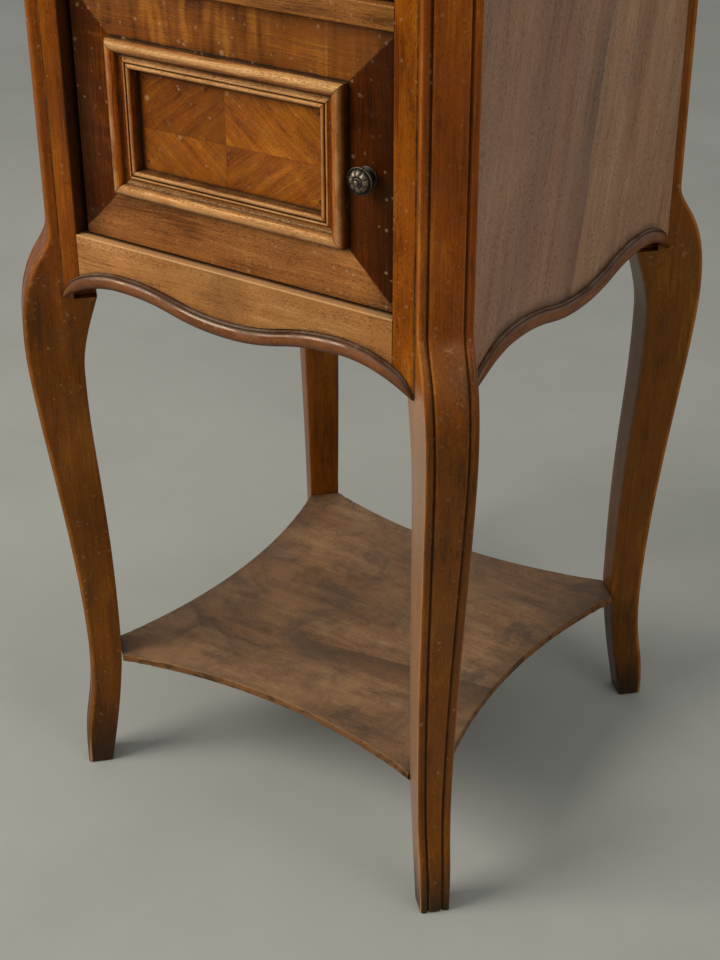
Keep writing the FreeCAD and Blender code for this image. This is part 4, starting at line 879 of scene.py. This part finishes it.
def arc_through(start, middle, end, count):
    """Points on the circle through three points of a section, from the first to the last, as complex numbers."""
    first, second, third = (complex(*point) for point in (start, middle, end))
    share = (third - first) / (second - first)
    centre = first - (first - second) * (share - abs(share) ** 2) / (2j * share.imag)
    angles = np.unwrap(np.angle([first - centre, second - centre, third - centre]))
    points = centre + abs(first - centre) * np.exp(1j * np.linspace(angles[0], angles[2], count))
    return np.stack([points.real, points.imag], 1)


def moulding_section():
    """The section as inward width and height over the door face: a roll, a cove, a fillet, a quirk and a bead,
    with masks of its hollows (darkened partly as dirt, partly as painted shade), its crests (lightened partly as
    wear, partly as painted highlight) and the dirt on its outer side."""
    roll = arc_through((0.0, 3.6), (3.3, 8.9), (9.0, 4.6), 19)
    cove = arc_through((9.0, 4.6), (11.5, 3.1), (13.9, 4.15), 9)[1:]
    fillet = np.array([(14.15, 4.2), (14.85, 4.2), (15.0, 4.05), (15.0, 1.4), (15.4, 1.35), (15.8, 1.4)])
    bead = arc_through((15.8, 2.8), (17.65, 4.65), (MOULDING_WIDTH, 2.8), 13)
    back = np.array([(MOULDING_WIDTH, -4.0), (13.6, -4.0), (13.6, 0.0), (0.0, 0.0)])
    section = np.concatenate([roll, cove, fillet, bead, back])
    recess = np.concatenate([np.interp(np.arange(19), [0, 2, 14, 18], [1, 0.25, 0, 0.9]),
                             np.interp(np.arange(8), [0, 2, 5, 7], [0.9, 0.7, 0.3, 0.1]), [0, 0, 0.2, 1, 1, 1],
                             np.interp(np.arange(13), [0, 2, 9, 12], [0.9, 0.1, 0.1, 0.8]), np.ones(4)])
    edge = np.concatenate([np.interp(np.arange(19), [3, 8, 13], [0, 1, 0]), [0, 0, 0, 0, 0, 0, 0, 0.6],
                           [1, 1, 0.8, 0, 0, 0], np.interp(np.arange(13), [2, 6, 10], [0, 1, 0]), np.zeros(4)])
    outer_soil = np.interp(np.arange(len(section)), [0, 5, 9, 12], [0.9, 0.6, 0.3, 0.0])
    return section, recess, edge, outer_soil


SECTION, SECTION_RECESS, SECTION_EDGE, OUTER_SOIL = moulding_section()


def moulding_points(half_length, half_offset, seed):
    """The section carried along its length, each end cut back by the section's own width for a mitre."""
    width, rise = SECTION.T
    inset = np.concatenate([[0.0, 0.35, 0.9, 2.0, 4.0], np.linspace(9, 100, 14)])
    inset = inset[inset < half_length - 22]
    along = np.concatenate([-half_length + inset, (half_length - inset)[::-1]])
    end = np.sign(along)[:, None] * np.maximum(np.abs(along)[:, None] - width, 0)
    lift = 0.14 * wave(along, seed, [47.0, 29.0, 83.0])[:, None] - 0.14
    seam = np.interp(half_length - np.abs(along), [0.0, 0.3, 0.9], [1.0, 0.8, 0.0])[:, None]
    return end, half_offset - width, rise + np.where(rise > 2.0, lift, 0), seam


for side, turn, half, offset, finish, slot in (
        ("top", 0, *MOULDING_HALF, MOULDING_WALNUT, "moulding_walnut"),
        ("bottom", 180, *MOULDING_HALF, MOULDING_WALNUT, "moulding_walnut"),
        ("right", -90, *MOULDING_HALF[::-1], MOULDING_UPRIGHT_WALNUT, "moulding_upright_walnut"),
        ("left", 90, *MOULDING_HALF[::-1], MOULDING_UPRIGHT_WALNUT, "moulding_upright_walnut")):
    along, out, height, seam = moulding_points(half, offset, 20 + abs(turn))
    across, up, lift = around(out, along, height, turn)
    recess = np.maximum(SECTION_RECESS, abs(math.sin(math.radians(turn))) * OUTER_SOIL)
    make_piece("door_moulding_" + side + "_shaped", "door", ["door_moulding_" + side],
               (across, -DOOR_FACE - lift, DOOR_CENTRE + up), finish,
               {"recess": recess, "edge": SECTION_EDGE, "seam": seam}, crease=50)


# Knobs

def knob_points():
    """A cast knob as radius and height over angle: a domed collar, a waisted neck, a beaded rim and a rosette whose
    height dips between its petals, with a boss inside a ring."""
    profile = np.array([
        (0, 0), (7.6, 0), (8, 0.4), (7.9, 0.9), (7.2, 1.4), (5.6, 1.9), (4.7, 2.6), (4.25, 3.6), (4.3, 4.6),
        (4.9, 5.6), (6.2, 6.4), (7.8, 6.9), (8.9, 7.3), (9.3, 7.8), (9.2, 8.2), (9.5, 8.5), (9.9, 9), (10, 9.6),
        (9.8, 10.2), (9.3, 10.6), (8.9, 10.6), (8.6, 10.3), (8.3, 10.4), (7.9, 11), (7.2, 11.7), (6.4, 12.3),
        (5.6, 12.75), (4.9, 13), (4.3, 13.05), (3.9, 12.8), (3.7, 12.6), (3.4, 12.9), (3.1, 13.5), (2.8, 13.7),
        (2.5, 13.5), (2.3, 13.4), (2, 14), (1.5, 14.6), (0.8, 14.9), (0, 15)])
    angle = np.linspace(0, 2 * math.pi, 128, endpoint=False)
    row = np.arange(len(profile))[:, None]
    petal = np.exp(-((row - 25) / 2.6) ** 2)
    valley = np.abs(np.cos(4 * angle)) ** 0.6
    height = profile[:, 1:] - 1.15 * petal * (1 - valley)
    rim = np.exp(-((row - 17) / 1.6) ** 2)
    beads = np.abs(np.sin(13 * angle))
    neck = np.exp(-((row - 11) / 1.5) ** 2)
    radius = profile[:, :1] - 0.55 * rim * (1 - beads) - 0.3 * neck * (1 - np.abs(np.cos(8 * angle)))
    dips, crests = np.zeros(row.shape), np.zeros(row.shape)
    dips[[6, 7, 14, 21, 22, 29, 30, 34, 35], 0] = [0.5, 0.3, 0.7, 1.0, 0.8, 0.8, 1.0, 0.7, 0.7]
    crests[[2, 3, 12, 13, 16, 17, 18, 24, 25, 26, 27, 28, 32, 33, 37, 38, 39], 0] = [
        0.6, 0.4, 0.5, 0.5, 0.6, 0.8, 0.9, 0.5, 0.8, 0.9, 0.9, 0.7, 0.7, 0.9, 0.8, 0.9, 1.0]
    recess = np.clip(dips + petal * (1 - valley) * 1.1 + rim * (1 - beads) * 0.7, 0, 1)
    high = np.clip(crests * (0.35 + 0.65 * np.where(petal > 0.1, valley, 1.0)), 0, 1)
    return radius * np.cos(angle), height, radius * np.sin(angle), {"recess": recess, "high": high}


KNOB_ACROSS, KNOB_HEIGHT, KNOB_UP, KNOB_MASKS = knob_points()
for name, body, (across, up) in (("door_knob", "door", DOOR_KNOB), ("drawer_knob", "drawer", DRAWER_KNOB)):
    make_piece(name + "_cast", body, [name], (across + KNOB_ACROSS, -DOOR_FACE - KNOB_HEIGHT, up + KNOB_UP),
               BRONZE, KNOB_MASKS, folds=None, crease=70)


# Catch spring

def coil_points(radius, wire, turns, low, high):
    """A round wire carried up a helix; each ring of the wire stands square to the helix."""
    share = np.linspace(0, 1, 32 * turns + 1)[:, None]
    turn = 2 * math.pi * turns * share
    ring = np.linspace(0, 2 * math.pi, 10, endpoint=False)
    slope = math.atan2(high - low, 2 * math.pi * radius * turns)
    out = radius + wire * np.cos(ring)
    aside = wire * np.sin(ring) * math.sin(slope)
    level = low + share * (high - low) - wire * np.sin(ring) * math.cos(slope)
    return out * np.cos(turn) - aside * np.sin(turn), out * np.sin(turn) + aside * np.cos(turn), level


across, away, level = coil_points(SPRING_RADIUS, WIRE_RADIUS, SPRING_TURNS, SPRING_LOW, SPRING_HIGH)
spring = make_piece("catch_spring_coil", None, ["catch_spring"],
                    (SPRING_PLACE[0] + across, SPRING_PLACE[1] + away, level), STEEL, {}, crease=60)
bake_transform(spring)


# Floor, light and camera

def floor_finish():
    """Pale smooth screed with faint clouds."""
    material, shader, place = start_material("pale_floor")
    cloud = noise(place, 2.2, 5.0, 0.6)
    color = mix(ramp(cloud, 0.3, 0.7), tone(158, 157, 147), tone(168, 167, 157))
    color = mix(noise(place, 90.0, 3.0, 0.6) * 0.06, color, tone(140, 138, 132))
    fill(shader, {"Base Color": color, "Roughness": ramp(cloud, 0.2, 0.8, 0.75, 0.9), "Specular IOR Level": 0.2})
    return material


floor_mesh = bpy.data.meshes.new("floor")
floor_mesh.from_pydata([(-9, -9, 0), (9, -9, 0), (9, 9, 0), (-9, 9, 0)], [], [(0, 1, 2, 3)])
floor_mesh.materials.append(floor_finish())
floor = new_object("floor", floor_mesh)


def soft_light(name, place, target, size, power, color):
    light = bpy.data.lights.new(name, "AREA")
    light.shape, light.size, light.energy, light.color = "DISK", size, power, color
    lamp = new_object(name, light)
    lamp.location = place
    lamp.rotation_euler = (Vector(target) - Vector(place)).to_track_quat("-Z", "Y").to_euler()


soft_light("window_light", (-1.5, -1.9, 2.1), (0, 0, 0.45), 1.6, 70.0, (1.0, 0.98, 0.95))
soft_light("fill_light", (2.4, -0.6, 1.6), (0, 0, 0.5), 1.8, 14.0, (0.96, 0.98, 1.0))

world = bpy.data.worlds.new("soft_room")
world.use_nodes = True
fill(world.node_tree.nodes["Background"], {"Color": (0.80, 0.83, 0.86, 1), "Strength": 0.5})
scene.world = world

turn, tilt, roll = math.radians(33.676), math.radians(29.639), math.radians(-0.2068)
right = Vector((math.cos(turn), math.sin(turn), 0))
back = Vector((math.sin(turn) * math.cos(tilt), -math.cos(turn) * math.cos(tilt), math.sin(tilt)))
up = right.cross(-back)
view_right = math.cos(roll) * right + math.sin(roll) * up
view_up = -math.sin(roll) * right + math.cos(roll) * up
lens = bpy.data.cameras.new("camera")
lens.sensor_fit, lens.sensor_height, lens.lens = "VERTICAL", 36.0, 66.17
camera = new_object("camera", lens)
stand = Matrix((view_right, view_up, back)).transposed().to_4x4()
stand.translation = (0.72107, -1.09725, 1.00203)
camera.matrix_world = stand
scene.camera = camera
scene.view_settings.view_transform = "Standard"
